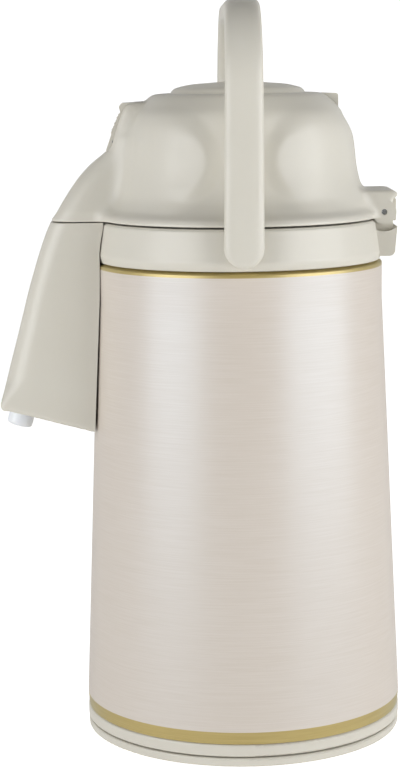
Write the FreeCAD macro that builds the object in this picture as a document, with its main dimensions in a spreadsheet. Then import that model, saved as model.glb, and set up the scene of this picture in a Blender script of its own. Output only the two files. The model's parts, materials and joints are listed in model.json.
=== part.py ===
"""Pump pot: a glass-lined vacuum jug with an air pump in its lid.

Frame: millimetres, +Z up, origin on the body's axis at the floor, the spout
towards -X and the lid's hinge towards +X.
"""
import FreeCAD, Part
import math
import os

import Sketcher

doc = FreeCAD.newDocument("PumpPot")
V = FreeCAD.Vector

# ---------------------------------------------------------------- sizes
SIZES = [
    # swivel base
    ("turntable_radius", 85.2),
    ("turntable_height", 5.2),
    ("turntable_plate", 1.8),
    ("turntable_lift", 0.6),
    ("foot_ring_inner", 66.0),
    ("foot_ring_outer", 76.0),
    ("foot_ring_height", 2.4),
    ("glide_radius", 5.0),
    ("glide_circle", 50.0),
    ("swivel_gap", 0.8),
    ("swivel_post_radius", 9.04),
    ("washer_radius", 14.0),
    ("washer_thickness", 0.9),
    ("swivel_screw_radius", 1.9),
    ("swivel_screw_head", 4.0),
    ("swivel_screw_head_height", 1.2),
    ("swivel_screw_length", 9.3),
    # fits
    ("run_gap", 0.06),
    ("seat_gap", 0.02),
    ("part_gap", 0.3),
    ("fine_gap", 0.1),
    ("lid_gap", 1.0),
    # body shell
    ("cover_radius", 85.4),
    ("cover_band", 6.5),
    ("cover_floor", 2.0),
    ("cover_floor_rise", 0.6),
    ("cover_rim", 2.8),
    ("cover_boss_radius", 6.0),
    ("cover_boss_height", 5.4),
    ("spigot_height", 9.5),
    ("spigot_wall", 2.0),
    ("cushion_inner", 18.0),
    ("cushion_outer", 50.0),
    ("shell_foot_radius", 85.0),
    ("shell_low_radius", 85.5),
    ("shell_top_radius", 76.4),
    ("shell_straight", 20.0),
    ("shell_lip_radius", 72.8),
    ("shell_height", 242.6),
    ("foot_band", 6.2),
    ("shoulder_drop", 1.2),
    ("shell_wall", 0.8),
    # collar
    ("collar_height", 21.2),
    ("collar_radius", 76.4),
    ("collar_top_radius", 73.4),
    ("collar_wall", 2.2),
    ("collar_skirt", 11.6),
    ("collar_skirt_gap", 1.2),
    ("chamber_radius", 59.6),
    ("chamber_depth", 9.8),
    ("neck_radius", 25.5),
    # glass liner
    ("liner_radius", 62.5),
    ("liner_jacket_radius", 70.0),
    ("liner_neck_radius", 26.0),
    ("liner_jacket_neck", 31.0),
    ("glass_wall", 1.8),
    ("liner_floor", 30.0),
    ("liner_jacket_floor", 22.0),
    ("neck_seal_height", 2.8),
    ("neck_length", 12.0),
    # water path
    ("siphon_x", -17.0),
    ("siphon_radius", 4.0),
    ("siphon_floor_gap", 6.0),
    ("siphon_wall", 1.0),
    ("socket_radius", 6.6),
    ("socket_depth", 6.0),
    ("holder_radius", 29.0),
    ("holder_plate", 1.2),
    ("filling_hole_x", 5.0),
    ("filling_hole_radius", 16.0),
    ("pipe_radius", 3.5),
    ("pipe_bore", 2.5),
    ("pipe_roof_gap", 0.2),
    ("pipe_bend", 7.0),
    ("spout_bend", 10.0),
    # spout
    ("spout_top_gap", 0.2),
    ("spout_reach", 130.2),
    ("spout_top_reach", 101.0),
    ("spout_brow_reach", 110.1),
    ("spout_brow_drop", 23.8),
    ("spout_length", 97.6),
    ("spout_half_width", 20.0),
    ("spout_wall", 2.0),
    ("spout_roof", 1.0),
    ("spout_slope", 15.0),
    ("spout_corner", 8.0),
    ("spout_lip_corner", 4.5),
    ("spout_screw_y", 13.0),
    ("spout_screw_rise", 6.4),
    ("spout_screw_radius", 1.38),
    ("spout_screw_head", 3.0),
    ("spout_tab_height", 8.0),
    ("spout_tab_width", 8.5),
    ("nozzle_x", -118.8),
    ("nozzle_drop", 104.8),
    ("nozzle_flange", 1.9),
    ("nozzle_radius", 6.9),
    ("nozzle_bore", 4.6),
    ("nozzle_length", 5.2),
    # lid
    ("lid_height", 66.0),
    ("lid_flange_radius", 74.0),
    ("lid_wall", 2.2),
    ("nose_reach", 100.8),
    ("nose_foot_half", 19.6),
    ("nose_top_half", 14.6),
    ("lever_half_width", 12.0),
    ("latch_pin_x", -65.2),
    ("latch_pin_drop", 24.8),
    ("latch_pin_radius", 1.5),
    ("latch_boss_radius", 2.8),
    ("latch_arm_side", 6.4),
    ("latch_arm_width", 4.6),
    ("latch_hook_depth", 6.2),
    ("catch_front", -71.2),
    ("catch_back", -63.6),
    ("plate_radius", 36.2),
    ("plate_rise", 6.4),
    ("plate_gap", 0.6),
    ("plate_travel", 25.0),
    ("plate_skirt", 16.7),
    ("lid_base_radius", 70.6),
    ("lid_base_plate", 2.2),
    ("gasket_inner", 60.0),
    ("gasket_outer", 62.8),
    ("bellows_radius", 31.0),
    ("bellows_fold", 5.6),
    ("bellows_wall", 1.0),
    ("bellows_folds", 7),
    ("spring_radius", 19.0),
    ("spring_wire", 1.1),
    ("spring_turns", 6),
    ("valve_x", 8.0),
    ("valve_cage_radius", 7.6),
    ("valve_cage_wall", 1.6),
    ("valve_hole_radius", 4.6),
    ("outlet_valve_radius", 7.0),
    ("outlet_valve_height", 0.9),
    ("tilt_ball_radius", 4.0),
    ("tilt_ball_lift", 2.2),
    ("sleeve_wall", 1.8),
    ("lock_ring_width", 2.6),
    ("lock_tab_length", 11.6),
    ("lock_tab_half", 4.6),
    ("lock_turn", 30.0),
    ("lid_screw_offset", 1.2),
    ("lid_screw_radius", 1.36),
    ("lid_screw_head", 3.2),
    ("lid_screw_length", 13.0),
    ("lid_pillar_radius", 3.6),
    # hinge
    ("hinge_x", 76.0),
    ("hinge_rise", 4.2),
    ("hinge_pin_radius", 1.5),
    ("hinge_pin_recess", 1.6),
    ("knuckle_radius", 6.4),
    ("ear_half_width", 21.0),
    ("ear_cheek", 4.0),
    ("ear_height", 13.0),
    ("ear_reach", 83.6),
    ("lug_radius", 5.4),
    ("lug_width", 5.5),
    ("hinge_well", 10.2),
    ("bracket_reach", 83.0),
    ("release_pin_x", 80.4),
    ("release_pin_rise", 11.0),
    ("release_pin_radius", 1.0),
    ("release_half_width", 9.2),
    # handle
    ("handle_pivot_rise", 12.4),
    ("handle_reach", 124.0),
    ("handle_width", 19.5),
    ("handle_depth", 9.4),
    ("handle_grip", 12.0),
    ("handle_half_gap", 77.7),
    ("handle_bend", 44.0),
    ("handle_round", 4.2),
    ("handle_pin_radius", 4.0),
    ("handle_boss_radius", 8.2),
    ("handle_boss_inner", 70.0),
    ("handle_pin_grip", 6.1),
]

sheet = doc.addObject("Spreadsheet::Sheet", "Sizes")
for row, (alias, number) in enumerate(SIZES, start=1):
    sheet.set("A%d" % row, alias)
    sheet.set("B%d" % row, "%g" % number)
    sheet.setAlias("B%d" % row, alias)
doc.recompute()


class Size:
    """A value together with the sheet expression that gives it."""

    def __init__(self, value, text):
        self.value = value
        self.text = text

    def joined(self, other, sign, value):
        return Size(value, "(%s %s %s)" % (self.text, sign, size(other).text))

    def __add__(self, other):
        return self.joined(other, "+", self.value + size(other).value)

    def __sub__(self, other):
        return self.joined(other, "-", self.value - size(other).value)

    def __mul__(self, other):
        return self.joined(other, "*", self.value * size(other).value)

    def __truediv__(self, other):
        return self.joined(other, "/", self.value / size(other).value)

    def __radd__(self, other):
        return size(other) + self

    def __rsub__(self, other):
        return size(other) - self

    def __rmul__(self, other):
        return size(other) * self

    def __neg__(self):
        return size(-1) * self


def size(item):
    return item if isinstance(item, Size) else Size(float(item), "%.10g" % item)


def tangent(angle):
    return Size(math.tan(math.radians(angle.value)), "tan(%s)" % angle.text)


def sine(angle):
    return Size(math.sin(math.radians(angle.value)), "sin(%s)" % angle.text)


def cosine(angle):
    return Size(math.cos(math.radians(angle.value)), "cos(%s)" % angle.text)


class Sheet:
    """Reads a named size, as in dim.shell_wall."""

    def __getattr__(self, alias):
        return Size(float(sheet.get(alias)), "Sizes." + alias)


dim = Sheet()


def bind(thing, prop, item):
    """Give a property its value and tie it to the sheet."""
    item = size(item)
    if "." not in prop:
        setattr(thing, prop, item.value)
    if "Sizes." in item.text:
        thing.setExpression(prop, item.text)


def place(thing, at=(0, 0, 0), turn=None):
    """Put a part at a point, turned by (axis, angle)."""
    spin = FreeCAD.Rotation()
    if turn:
        spin = FreeCAD.Rotation(turn[0], size(turn[1]).value)
    thing.Placement = FreeCAD.Placement(V(*[size(c).value for c in at]), spin)
    for letter, item in zip("xyz", at):
        bind(thing, "Placement.Base." + letter, item)
    return thing


# ---------------------------------------------------------------- sketches
def unit(a, b):
    step = b.sub(a)
    return step.multiply(1.0 / step.Length)


def draw(sketch, corners, closed=True):
    """Straight edges from corner to corner; a corner (x, y, radius) is rounded."""
    corners = [[size(c) for c in corner] for corner in corners]
    count = len(corners)
    points = [V(c[0].value, c[1].value, 0) for c in corners]
    trims = []
    for i, corner in enumerate(corners):
        trim = 0.0
        if len(corner) == 3:
            into = unit(points[i - 1], points[i])
            out = unit(points[i], points[(i + 1) % count])
            trim = corner[2].value * math.tan(into.getAngle(out) / 2)
        trims.append(trim)
    lines = []
    for i in range(count if closed else count - 1):
        j = (i + 1) % count
        way = unit(points[i], points[j])
        start = points[i] + way * trims[i]
        end = points[j] - way * trims[j]
        lines.append(sketch.addGeometry(Part.LineSegment(start, end), False))
    for i, corner in enumerate(corners):
        before = lines[i - 1] if closed or i else None
        after = lines[i] if i < len(lines) else None
        if len(corner) == 3:
            target = round_corner(sketch, points, i, before, after, corner[2])
        else:
            target = (after, 1) if after is not None else (before, 2)
            if before is not None and after is not None:
                sketch.addConstraint(Sketcher.Constraint("Coincident", before, 2, after, 1))
        pin_point(sketch, target, corner[0], "DistanceX", -2)
        pin_point(sketch, target, corner[1], "DistanceY", -1)


def round_corner(sketch, points, i, before, after, radius):
    """A tangent arc between two edges; returns the corner's own point."""
    corner = points[i]
    end = sketch.Geometry[before].EndPoint
    start = sketch.Geometry[after].StartPoint
    into = unit(end, corner)
    out = unit(corner, start)
    left = into.x * out.y - into.y * out.x > 0
    normal = V(-into.y, into.x, 0) * (1 if left else -1)
    centre = end + normal * radius.value
    first, last = (end, start) if left else (start, end)
    angles = [math.atan2(p.y - centre.y, p.x - centre.x) for p in (first, last)]
    circle = Part.Circle(centre, V(0, 0, 1), radius.value)
    arc = sketch.addGeometry(Part.ArcOfCircle(circle, angles[0], angles[1]), False)
    near, far = (1, 2) if left else (2, 1)
    sketch.addConstraint(Sketcher.Constraint("Tangent", before, 2, arc, near))
    sketch.addConstraint(Sketcher.Constraint("Tangent", after, 1, arc, far))
    rule = sketch.addConstraint(Sketcher.Constraint("Radius", arc, radius.value))
    if "Sizes." in radius.text:
        sketch.setExpression("Constraints[%d]" % rule, radius.text)
    point = sketch.addGeometry(Part.Point(corner), True)
    sketch.addConstraint(Sketcher.Constraint("PointOnObject", point, 1, before))
    sketch.addConstraint(Sketcher.Constraint("PointOnObject", point, 1, after))
    return point, 1


def pin_point(sketch, target, item, kind, axis):
    """Hold one coordinate of a sketch point to its size."""
    if item.value == 0 and "Sizes." not in item.text:
        sketch.addConstraint(Sketcher.Constraint("PointOnObject", *target, axis))
        return
    rule = sketch.addConstraint(Sketcher.Constraint(kind, -1, 1, *target, item.value))
    if "Sizes." in item.text:
        sketch.setExpression("Constraints[%d]" % rule, item.text)


def sketch_in(body, role, corners, closed=True):
    sketch = body.newObject("Sketcher::SketchObject", body.Name + "_sketch")
    for feature in body.Origin.OriginFeatures:
        if feature.Role == role:
            sketch.AttachmentSupport = [(feature, "")]
    sketch.MapMode = "FlatFace"
    draw(sketch, corners, closed)
    return sketch


# ---------------------------------------------------------------- makers
def body_named(label):
    body = doc.addObject("PartDesign::Body", label)
    body.Label = label
    return body


def turned(label, corners, at=(0, 0, 0), turn=None):
    """A body revolved about Z from an outline of (radius, height) corners."""
    body = body_named(label)
    feature = body.newObject("PartDesign::Revolution", label + "_turned")
    feature.Profile = sketch_in(body, "XZ_Plane", corners)
    feature.ReferenceAxis = (feature.Profile[0], ["V_Axis"])
    feature.Angle = 360
    body.Tip = feature
    place(body, at, turn)
    doc.recompute()
    return body


def padded(label, role, corners, length, at=(0, 0, 0)):
    """A body padded evenly to both sides of its sketch plane."""
    body = body_named(label)
    feature = body.newObject("PartDesign::Pad", label + "_pad")
    feature.Profile = sketch_in(body, role, corners)
    feature.SideType = "Symmetric"
    bind(feature, "Length", length)
    body.Tip = feature
    place(body, at)
    doc.recompute()
    return body


def softened(body, radius, picks):
    """Round the body's edges that pass each picked point."""
    base = body.Tip
    shape = base.Shape
    names = []
    for pick in picks:
        spot = Part.Vertex(V(*[size(c).value for c in pick]))
        gaps = [edge.distToShape(spot)[0] for edge in shape.Edges]
        names.append("Edge%d" % (gaps.index(min(gaps)) + 1))
    feature = body.newObject("PartDesign::Fillet", body.Name + "_round")
    feature.Base = (base, sorted(set(names)))
    bind(feature, "Radius", radius)
    body.Tip = feature
    doc.recompute()
    return body


AXIS_TURNS = {
    "z": None,
    "x": (V(0, 1, 0), 90),
    "y": (V(1, 0, 0), -90),
}


def rod(label, radius, length, at=(0, 0, 0), along="z"):
    """A cylinder that starts at a point and runs along an axis."""
    thing = doc.addObject("Part::Cylinder", label)
    bind(thing, "Radius", radius)
    bind(thing, "Height", length)
    return place(thing, at, AXIS_TURNS[along])


def centred_rod(label, radius, length, at, along="y"):
    """A cylinder centred on a point of the XZ plane, along Y."""
    x, z = at
    return rod(label, radius, length, (x, -length / 2, z), along)


def block(label, low, high):
    """A box between two corners."""
    thing = doc.addObject("Part::Box", label)
    for prop, a, b in zip(("Length", "Width", "Height"), low, high):
        bind(thing, prop, size(b) - a)
    return place(thing, low)


def ball(label, radius, at):
    thing = doc.addObject("Part::Sphere", label)
    bind(thing, "Radius", radius)
    return place(thing, at)


def fused(label, *pieces):
    thing = doc.addObject("Part::MultiFuse", label)
    thing.Shapes = list(pieces)
    return thing


def carved(label, base, *tools):
    thing = doc.addObject("Part::Cut", label)
    thing.Base = base
    thing.Tool = tools[0] if len(tools) == 1 else fused(label + "_tools", *tools)
    return thing


def shared(label, first, second):
    thing = doc.addObject("Part::MultiCommon", label)
    thing.Shapes = [first, second]
    return thing


def group(label, pieces):
    """Separate solids kept as one node."""
    thing = doc.addObject("Part::Compound", label)
    thing.Links = list(pieces)
    return thing


def both_sides(maker):
    """The same piece made at -Y and at +Y."""
    return [maker("near", -1), maker("far", 1)]


def hook_slots(label, low_z, high_z):
    """The two slots that the latch lever's hooks reach through."""
    start = dim.latch_arm_side - 1
    width = dim.latch_arm_width + 2

    def slot(side, sign):
        y = start if sign > 0 else -start - width
        return block(side + "_" + label, (dim.catch_front, y, low_z),
                     (dim.catch_back, y + width, high_z))

    return both_sides(slot)


def spout_screw_places():
    return [("near", -dim.spout_screw_y), ("far", dim.spout_screw_y)]


def on_circle(radius, count, first=0):
    """Points spaced evenly on a circle, each tied to its radius."""
    spots = []
    for i in range(count):
        angle = math.radians(first + 360 * i / count)
        spots.append((radius * math.cos(angle), radius * math.sin(angle)))
    return spots


# ---------------------------------------------------------------- levels
cover_z = dim.turntable_height + dim.swivel_gap
shell_z = cover_z + dim.cover_band + dim.part_gap
shell_lip_z = shell_z + dim.shell_height
collar_z = shell_lip_z + dim.part_gap - dim.fine_gap
collar_top_z = collar_z + dim.collar_height
chamber_floor_z = collar_top_z - dim.chamber_depth
chamber_under_z = chamber_floor_z - dim.collar_wall
lip_z = chamber_under_z - dim.neck_seal_height
lid_z = collar_top_z + dim.lid_gap
lid_top_z = lid_z + dim.lid_height
plate_top_z = lid_top_z + dim.plate_rise
hinge_z = collar_top_z + dim.hinge_rise
spout_top_z = collar_top_z - dim.spout_top_gap
pipe_z = spout_top_z - dim.spout_roof - dim.pipe_roof_gap - dim.pipe_radius
handle_z = collar_z + dim.handle_pivot_rise
lid_base_z = lid_z + dim.part_gap + dim.fine_gap
lid_base_top_z = lid_base_z + dim.lid_base_plate
nozzle_z = collar_top_z - dim.nozzle_drop
spout_screw_z = collar_z + dim.spout_screw_rise
spout_seat_x = -dim.collar_radius + 3.2
latch_pin_z = lid_top_z - dim.latch_pin_drop
latch_pin = (dim.latch_pin_x, latch_pin_z)
release_pin = (dim.release_pin_x, lid_z + dim.release_pin_rise)
hinge_pin = (dim.hinge_x, hinge_z)
plate_opening = dim.plate_radius + dim.plate_gap
sleeve_radius = plate_opening + dim.sleeve_wall
lock_ring_inner = sleeve_radius + dim.part_gap + dim.fine_gap
lock_ring_outer = lock_ring_inner + dim.lock_ring_width
lock_tab_reach = lock_ring_outer + dim.lock_tab_length
lid_screw_circle = (lock_ring_outer + dim.gasket_inner) / 2 + dim.lid_screw_offset

NODES = {}


def keep(node, thing):
    """Hand a finished sub-part in under its node's name."""
    thing.Label = node
    NODES[node] = thing
    return thing


# ---------------------------------------------------------------- swivel base
def make_swivel_base():
    plate_low = dim.turntable_height - dim.turntable_plate
    bore = dim.swivel_post_radius + dim.run_gap
    groove_in = dim.foot_ring_inner - dim.fine_gap
    groove_out = dim.foot_ring_outer + dim.fine_gap
    rib = groove_in - 3.8
    turntable = turned("turntable", [
        (bore, plate_low),
        (rib, plate_low),
        (rib, dim.turntable_lift),
        (groove_in, dim.turntable_lift),
        (groove_in, dim.foot_ring_height),
        (groove_out, dim.foot_ring_height),
        (groove_out, dim.turntable_lift),
        (dim.turntable_radius, dim.turntable_lift, 1.4),
        (dim.turntable_radius, dim.turntable_height, 1.0),
        (bore, dim.turntable_height),
    ])
    keep("turntable", turntable)
    keep("foot_ring", turned("foot_ring", [
        (dim.foot_ring_inner, 0),
        (dim.foot_ring_outer, 0),
        (dim.foot_ring_outer, dim.foot_ring_height),
        (dim.foot_ring_inner, dim.foot_ring_height),
    ]))
    glide_height = cover_z + dim.cover_floor_rise - dim.part_gap - dim.turntable_height
    glides = [
        rod("glide_%d" % i, dim.glide_radius, glide_height, (x, y, dim.turntable_height))
        for i, (x, y) in enumerate(on_circle(dim.glide_circle, 6))
    ]
    keep("glide_pads", group("glide_pads", glides))


def make_bottom_cover():
    floor_low = dim.cover_floor_rise
    floor_top = floor_low + dim.cover_floor
    post_low = dim.turntable_height - dim.turntable_plate - dim.part_gap - cover_z
    hole = dim.swivel_screw_radius
    rim = dim.cover_radius - dim.cover_rim
    spigot = dim.shell_foot_radius - dim.shell_wall - dim.part_gap - dim.fine_gap
    keep("bottom_cover", turned("bottom_cover", [
        (hole, post_low),
        (dim.swivel_post_radius, post_low),
        (dim.swivel_post_radius, floor_low),
        (rim, floor_low),
        (rim, 0),
        (dim.cover_radius, 0, 1.2),
        (dim.cover_radius, dim.cover_band, 1.2),
        (spigot, dim.cover_band),
        (spigot, dim.cover_band + dim.spigot_height),
        (spigot - dim.spigot_wall, dim.cover_band + dim.spigot_height),
        (spigot - dim.spigot_wall, floor_top),
        (dim.cover_boss_radius, floor_top),
        (dim.cover_boss_radius, floor_top + dim.cover_boss_height),
        (hole, floor_top + dim.cover_boss_height),
    ], (0, 0, cover_z)))
    washer_z = cover_z + post_low - dim.washer_thickness
    keep("swivel_washer", turned("swivel_washer", [
        (hole, 0),
        (dim.washer_radius, 0),
        (dim.washer_radius, dim.washer_thickness),
        (hole, dim.washer_thickness),
    ], (0, 0, washer_z)))
    head = dim.swivel_screw_head_height
    shank = hole - dim.seat_gap
    keep("swivel_screw", turned("swivel_screw", [
        (0, 0),
        (dim.swivel_screw_head, 0, 0.5),
        (dim.swivel_screw_head, head),
        (shank, head),
        (shank, head + dim.swivel_screw_length),
        (0, head + dim.swivel_screw_length + 1.3),
    ], (0, 0, washer_z - head)))
    cover_floor_z = cover_z + floor_top
    seat = dim.liner_jacket_floor - cover_floor_z
    keep("bottom_cushion", turned("bottom_cushion", [
        (dim.cushion_inner, 0),
        (dim.cushion_outer, 0),
        (dim.cushion_outer, seat + 6.45),
        (dim.cushion_inner + 10.8, seat - 1.4),
        (dim.cushion_inner, seat - 1.4),
    ], (0, 0, cover_floor_z)))


# ---------------------------------------------------------------- shell, collar
def make_shell():
    wall = dim.shell_wall
    shoulder = dim.shell_height - dim.shoulder_drop
    keep("outer_shell", turned("outer_shell", [
        (dim.shell_foot_radius, 0),
        (dim.shell_low_radius, dim.foot_band, 8),
        (dim.shell_top_radius, dim.shell_height - dim.shell_straight, 60),
        (dim.shell_top_radius, shoulder, 0.9),
        (dim.shell_lip_radius, dim.shell_height),
        (dim.shell_lip_radius, dim.shell_height - wall),
        (dim.shell_top_radius - wall, shoulder - wall / 2, 0.4),
        (dim.shell_top_radius - wall, dim.shell_height - dim.shell_straight, 60),
        (dim.shell_low_radius - wall, dim.foot_band, 7),
        (dim.shell_foot_radius - wall, 0),
    ], (0, 0, shell_z)))


def collar_ring():
    wall = dim.collar_wall
    top = dim.collar_height
    floor_top = top - dim.chamber_depth
    skirt = dim.shell_lip_radius - dim.collar_skirt_gap
    return turned("collar_ring", [
        (skirt, -dim.collar_skirt),
        (skirt, 0),
        (dim.collar_radius - 1.2, 0, 0.6),
        (dim.collar_radius, 4.0, 6),
        (dim.collar_top_radius + 0.8, top - 1.2, 1.0),
        (dim.collar_top_radius - 0.4, top, 0.6),
        (dim.chamber_radius, top, 1.0),
        (dim.chamber_radius - 1, floor_top, 2.5),
        (dim.neck_radius, floor_top),
        (dim.neck_radius, floor_top - wall),
        (dim.chamber_radius + 1.2, floor_top - wall),
        (dim.chamber_radius + 2.2, top - wall),
        (dim.collar_top_radius - 1.6, top - wall),
        (dim.collar_radius - wall, 4.2),
        (skirt + 1.4, wall),
        (skirt - wall, wall),
        (skirt - wall, -dim.collar_skirt),
    ], (0, 0, collar_z))


def make_collar():
    ring = collar_ring()
    half = dim.ear_half_width
    bracket = padded("hinge_bracket", "XZ_Plane", [
        (dim.hinge_x - 11.5, 2.2),
        (dim.bracket_reach - 1.5, 2.2, 3),
        (dim.bracket_reach, dim.collar_height - 1.7, 2),
        (dim.hinge_x - 11.5, dim.collar_height - 1.7),
    ], half * 2, (0, 0, collar_z))
    well = centred_rod("hinge_well", dim.hinge_well, half * 2 + 1.2, hinge_pin)
    lug_y = half - dim.ear_cheek - dim.part_gap - dim.fine_gap - dim.lug_width
    leg_z = collar_z + 9

    def lug(side, sign):
        start = lug_y if sign > 0 else -lug_y - dim.lug_width
        round_end = rod(side + "_lug_round", dim.lug_radius, dim.lug_width,
                        (dim.hinge_x, start, hinge_z), "y")
        leg = block(side + "_lug_leg", (dim.hinge_x - 5, start, leg_z),
                    (dim.hinge_x + 5, start + dim.lug_width, hinge_z))
        return fused(side + "_lug", round_end, leg)

    def boss(side, sign):
        inner = dim.handle_boss_inner
        depth = dim.handle_half_gap - dim.part_gap - dim.fine_gap - inner
        start = inner if sign > 0 else -inner - depth
        return rod(side + "_handle_boss", dim.handle_boss_radius, depth,
                   (0, start, handle_z), "y")

    pin_bore = centred_rod("hinge_bore", dim.hinge_pin_radius + dim.seat_gap, half * 2, hinge_pin)
    pipe_bore = rod("pipe_bore", dim.pipe_radius + dim.part_gap, 60,
                    (-84, 0, pipe_z), "x")
    handle_bore = centred_rod("handle_bore", dim.handle_pin_radius + dim.seat_gap,
                              size(200), (0, handle_z))
    catches = hook_slots("catch_slot", collar_top_z - dim.collar_wall - 1, collar_top_z + 1)
    holes = []
    for side, y in spout_screw_places():
        holes.append(rod(side + "_spout_hole", dim.spout_screw_radius + dim.part_gap, 8,
                         (spout_seat_x - 4.8, y, spout_screw_z), "x"))
        holes.append(rod(side + "_head_seat", dim.spout_screw_head + dim.part_gap, 8,
                         (spout_seat_x, y, spout_screw_z), "x"))
    welled = carved("collar_welled", fused("collar_block", ring, bracket), well)
    solid = fused("collar_solid", welled, *both_sides(lug), *both_sides(boss))
    keep("collar", carved("collar", solid, pin_bore, pipe_bore, handle_bore,
                          *catches, *holes))
    keep("hinge_pin", centred_rod("hinge_pin", dim.hinge_pin_radius,
                                  (half - dim.hinge_pin_recess) * 2, hinge_pin))

    def pivot(side, sign):
        inner = dim.handle_boss_inner + 0.8
        length = dim.handle_half_gap + dim.handle_pin_grip - inner - 0.3
        start = inner if sign > 0 else -inner - length
        return rod(side + "_pivot", dim.handle_pin_radius, length,
                   (0, start, handle_z), "y")

    keep("handle_pivots", group("handle_pivots", both_sides(pivot)))


# ---------------------------------------------------------------- glass liner
def make_liner():
    wall = dim.glass_wall
    shoulder = lip_z - dim.neck_length
    neck = dim.liner_neck_radius
    inner = turned("liner_inner", [
        (0, dim.liner_floor),
        (dim.liner_radius, dim.liner_floor, 40),
        (dim.liner_radius, shoulder - 10, 28),
        (neck, shoulder, 7),
        (neck, lip_z),
        (neck - wall, lip_z),
        (neck - wall, shoulder + 0.6, 8.8),
        (dim.liner_radius - wall, shoulder - 10 - wall, 26.2),
        (dim.liner_radius - wall, dim.liner_floor + wall, 38.2),
        (0, dim.liner_floor + wall),
    ])
    keep("liner_inner", inner)
    jacket = dim.liner_jacket_radius
    jacket_neck = dim.liner_jacket_neck
    floor = dim.liner_jacket_floor
    keep("liner_jacket", turned("liner_jacket", [
        (0, floor - 8),
        (3.4, floor - 6.4, 1.5),
        (5, floor),
        (jacket, floor, 46),
        (jacket, shoulder - 9, 32),
        (jacket_neck, shoulder + 1.6, 6),
        (jacket_neck, lip_z),
        (neck + dim.seat_gap, lip_z),
        (neck + dim.seat_gap, lip_z - wall),
        (jacket_neck - wall, lip_z - wall),
        (jacket_neck - wall, shoulder + 2.2, 7.8),
        (jacket - wall, shoulder - 9 - wall, 30.2),
        (jacket - wall, floor + wall, 44.2),
        (0, floor + wall),
    ]))
    keep("neck_seal", turned("neck_seal", [
        (neck, 0),
        (jacket_neck, 0),
        (jacket_neck, dim.neck_seal_height),
        (neck, dim.neck_seal_height),
    ], (0, 0, lip_z)))


# ---------------------------------------------------------------- water path
def bent_rod(label, radius):
    """The delivery pipe's run at one radius: up, forward and down the spout."""
    slope = dim.spout_slope
    start_z = lip_z + 0.6
    corner_x = dim.nozzle_x + tangent(slope) * (pipe_z - nozzle_z)
    body = body_named(label)
    spine = sketch_in(body, "XZ_Plane", [
        (dim.siphon_x, start_z),
        (dim.siphon_x, pipe_z, dim.pipe_bend),
        (corner_x, pipe_z, dim.spout_bend),
        (dim.nozzle_x + sine(slope) * 8, nozzle_z + cosine(slope) * 8),
    ], closed=False)
    ring = body.newObject("Sketcher::SketchObject", label + "_ring")
    for feature in body.Origin.OriginFeatures:
        if feature.Role == "XY_Plane":
            ring.AttachmentSupport = [(feature, "")]
    ring.MapMode = "FlatFace"
    bind(ring, "AttachmentOffset.Base.x", dim.siphon_x)
    bind(ring, "AttachmentOffset.Base.z", start_z)
    ring.addGeometry(Part.Circle(V(0, 0, 0), V(0, 0, 1), radius.value), False)
    ring.addConstraint(Sketcher.Constraint("Coincident", 0, 3, -1, 1))
    rule = ring.addConstraint(Sketcher.Constraint("Radius", 0, radius.value))
    ring.setExpression("Constraints[%d]" % rule, radius.text)
    pipe = body.newObject("PartDesign::AdditivePipe", label + "_pipe")
    pipe.Profile = ring
    pipe.Spine = (spine, [])
    body.Tip = pipe
    doc.recompute()
    return body


def make_water_path():
    top = lip_z - 0.8
    low = dim.liner_floor + dim.glass_wall + dim.siphon_floor_gap
    wall_in = dim.siphon_radius - dim.siphon_wall
    keep("siphon_tube", turned("siphon_tube", [
        (wall_in, low),
        (dim.siphon_radius, low),
        (dim.siphon_radius, top),
        (wall_in, top),
    ], (dim.siphon_x, 0, 0)))
    keep("delivery_pipe", carved(
        "delivery_pipe",
        bent_rod("pipe_outside", dim.pipe_radius),
        bent_rod("pipe_inside", dim.pipe_bore),
    ))
    rim_z = chamber_floor_z
    socket_z = lip_z - dim.socket_depth
    rim = rod("holder_rim", dim.holder_radius, dim.holder_plate, (0, 0, rim_z))
    socket = rod("holder_socket", dim.socket_radius, rim_z + dim.holder_plate - socket_z,
                 (dim.siphon_x, 0, socket_z))
    mouth = rod("holder_mouth", dim.filling_hole_radius, 40,
                (dim.filling_hole_x, 0, socket_z - 2))
    low_bore = rod("holder_low_bore", dim.siphon_radius + dim.fine_gap, 16,
                   (dim.siphon_x, 0, top + 0.4 - 16))
    high_bore = bent_rod("holder_high_bore", dim.pipe_radius + dim.fine_gap)
    keep("pipe_holder", carved("pipe_holder", fused("holder_solid", rim, socket),
                               mouth, low_bore, high_bore))


# ---------------------------------------------------------------- spout
def spout_outline(inset, roof):
    """The housing's side view, drawn in by a wall."""
    slope = tangent(dim.spout_slope)
    front = -dim.spout_reach + inset * 1.04
    low = -dim.spout_length + inset / cosine(dim.spout_slope) - slope * inset * 1.04
    back = -dim.shell_low_radius + 25
    brow = -dim.spout_brow_reach + inset * 1.04
    return [
        (-dim.spout_top_reach + inset * 1.04, -roof),
        (brow, -dim.spout_brow_drop, 60),
        (front, low, dim.spout_lip_corner),
        (back, low - slope * (back - front)),
        (back, -roof),
    ]


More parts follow.
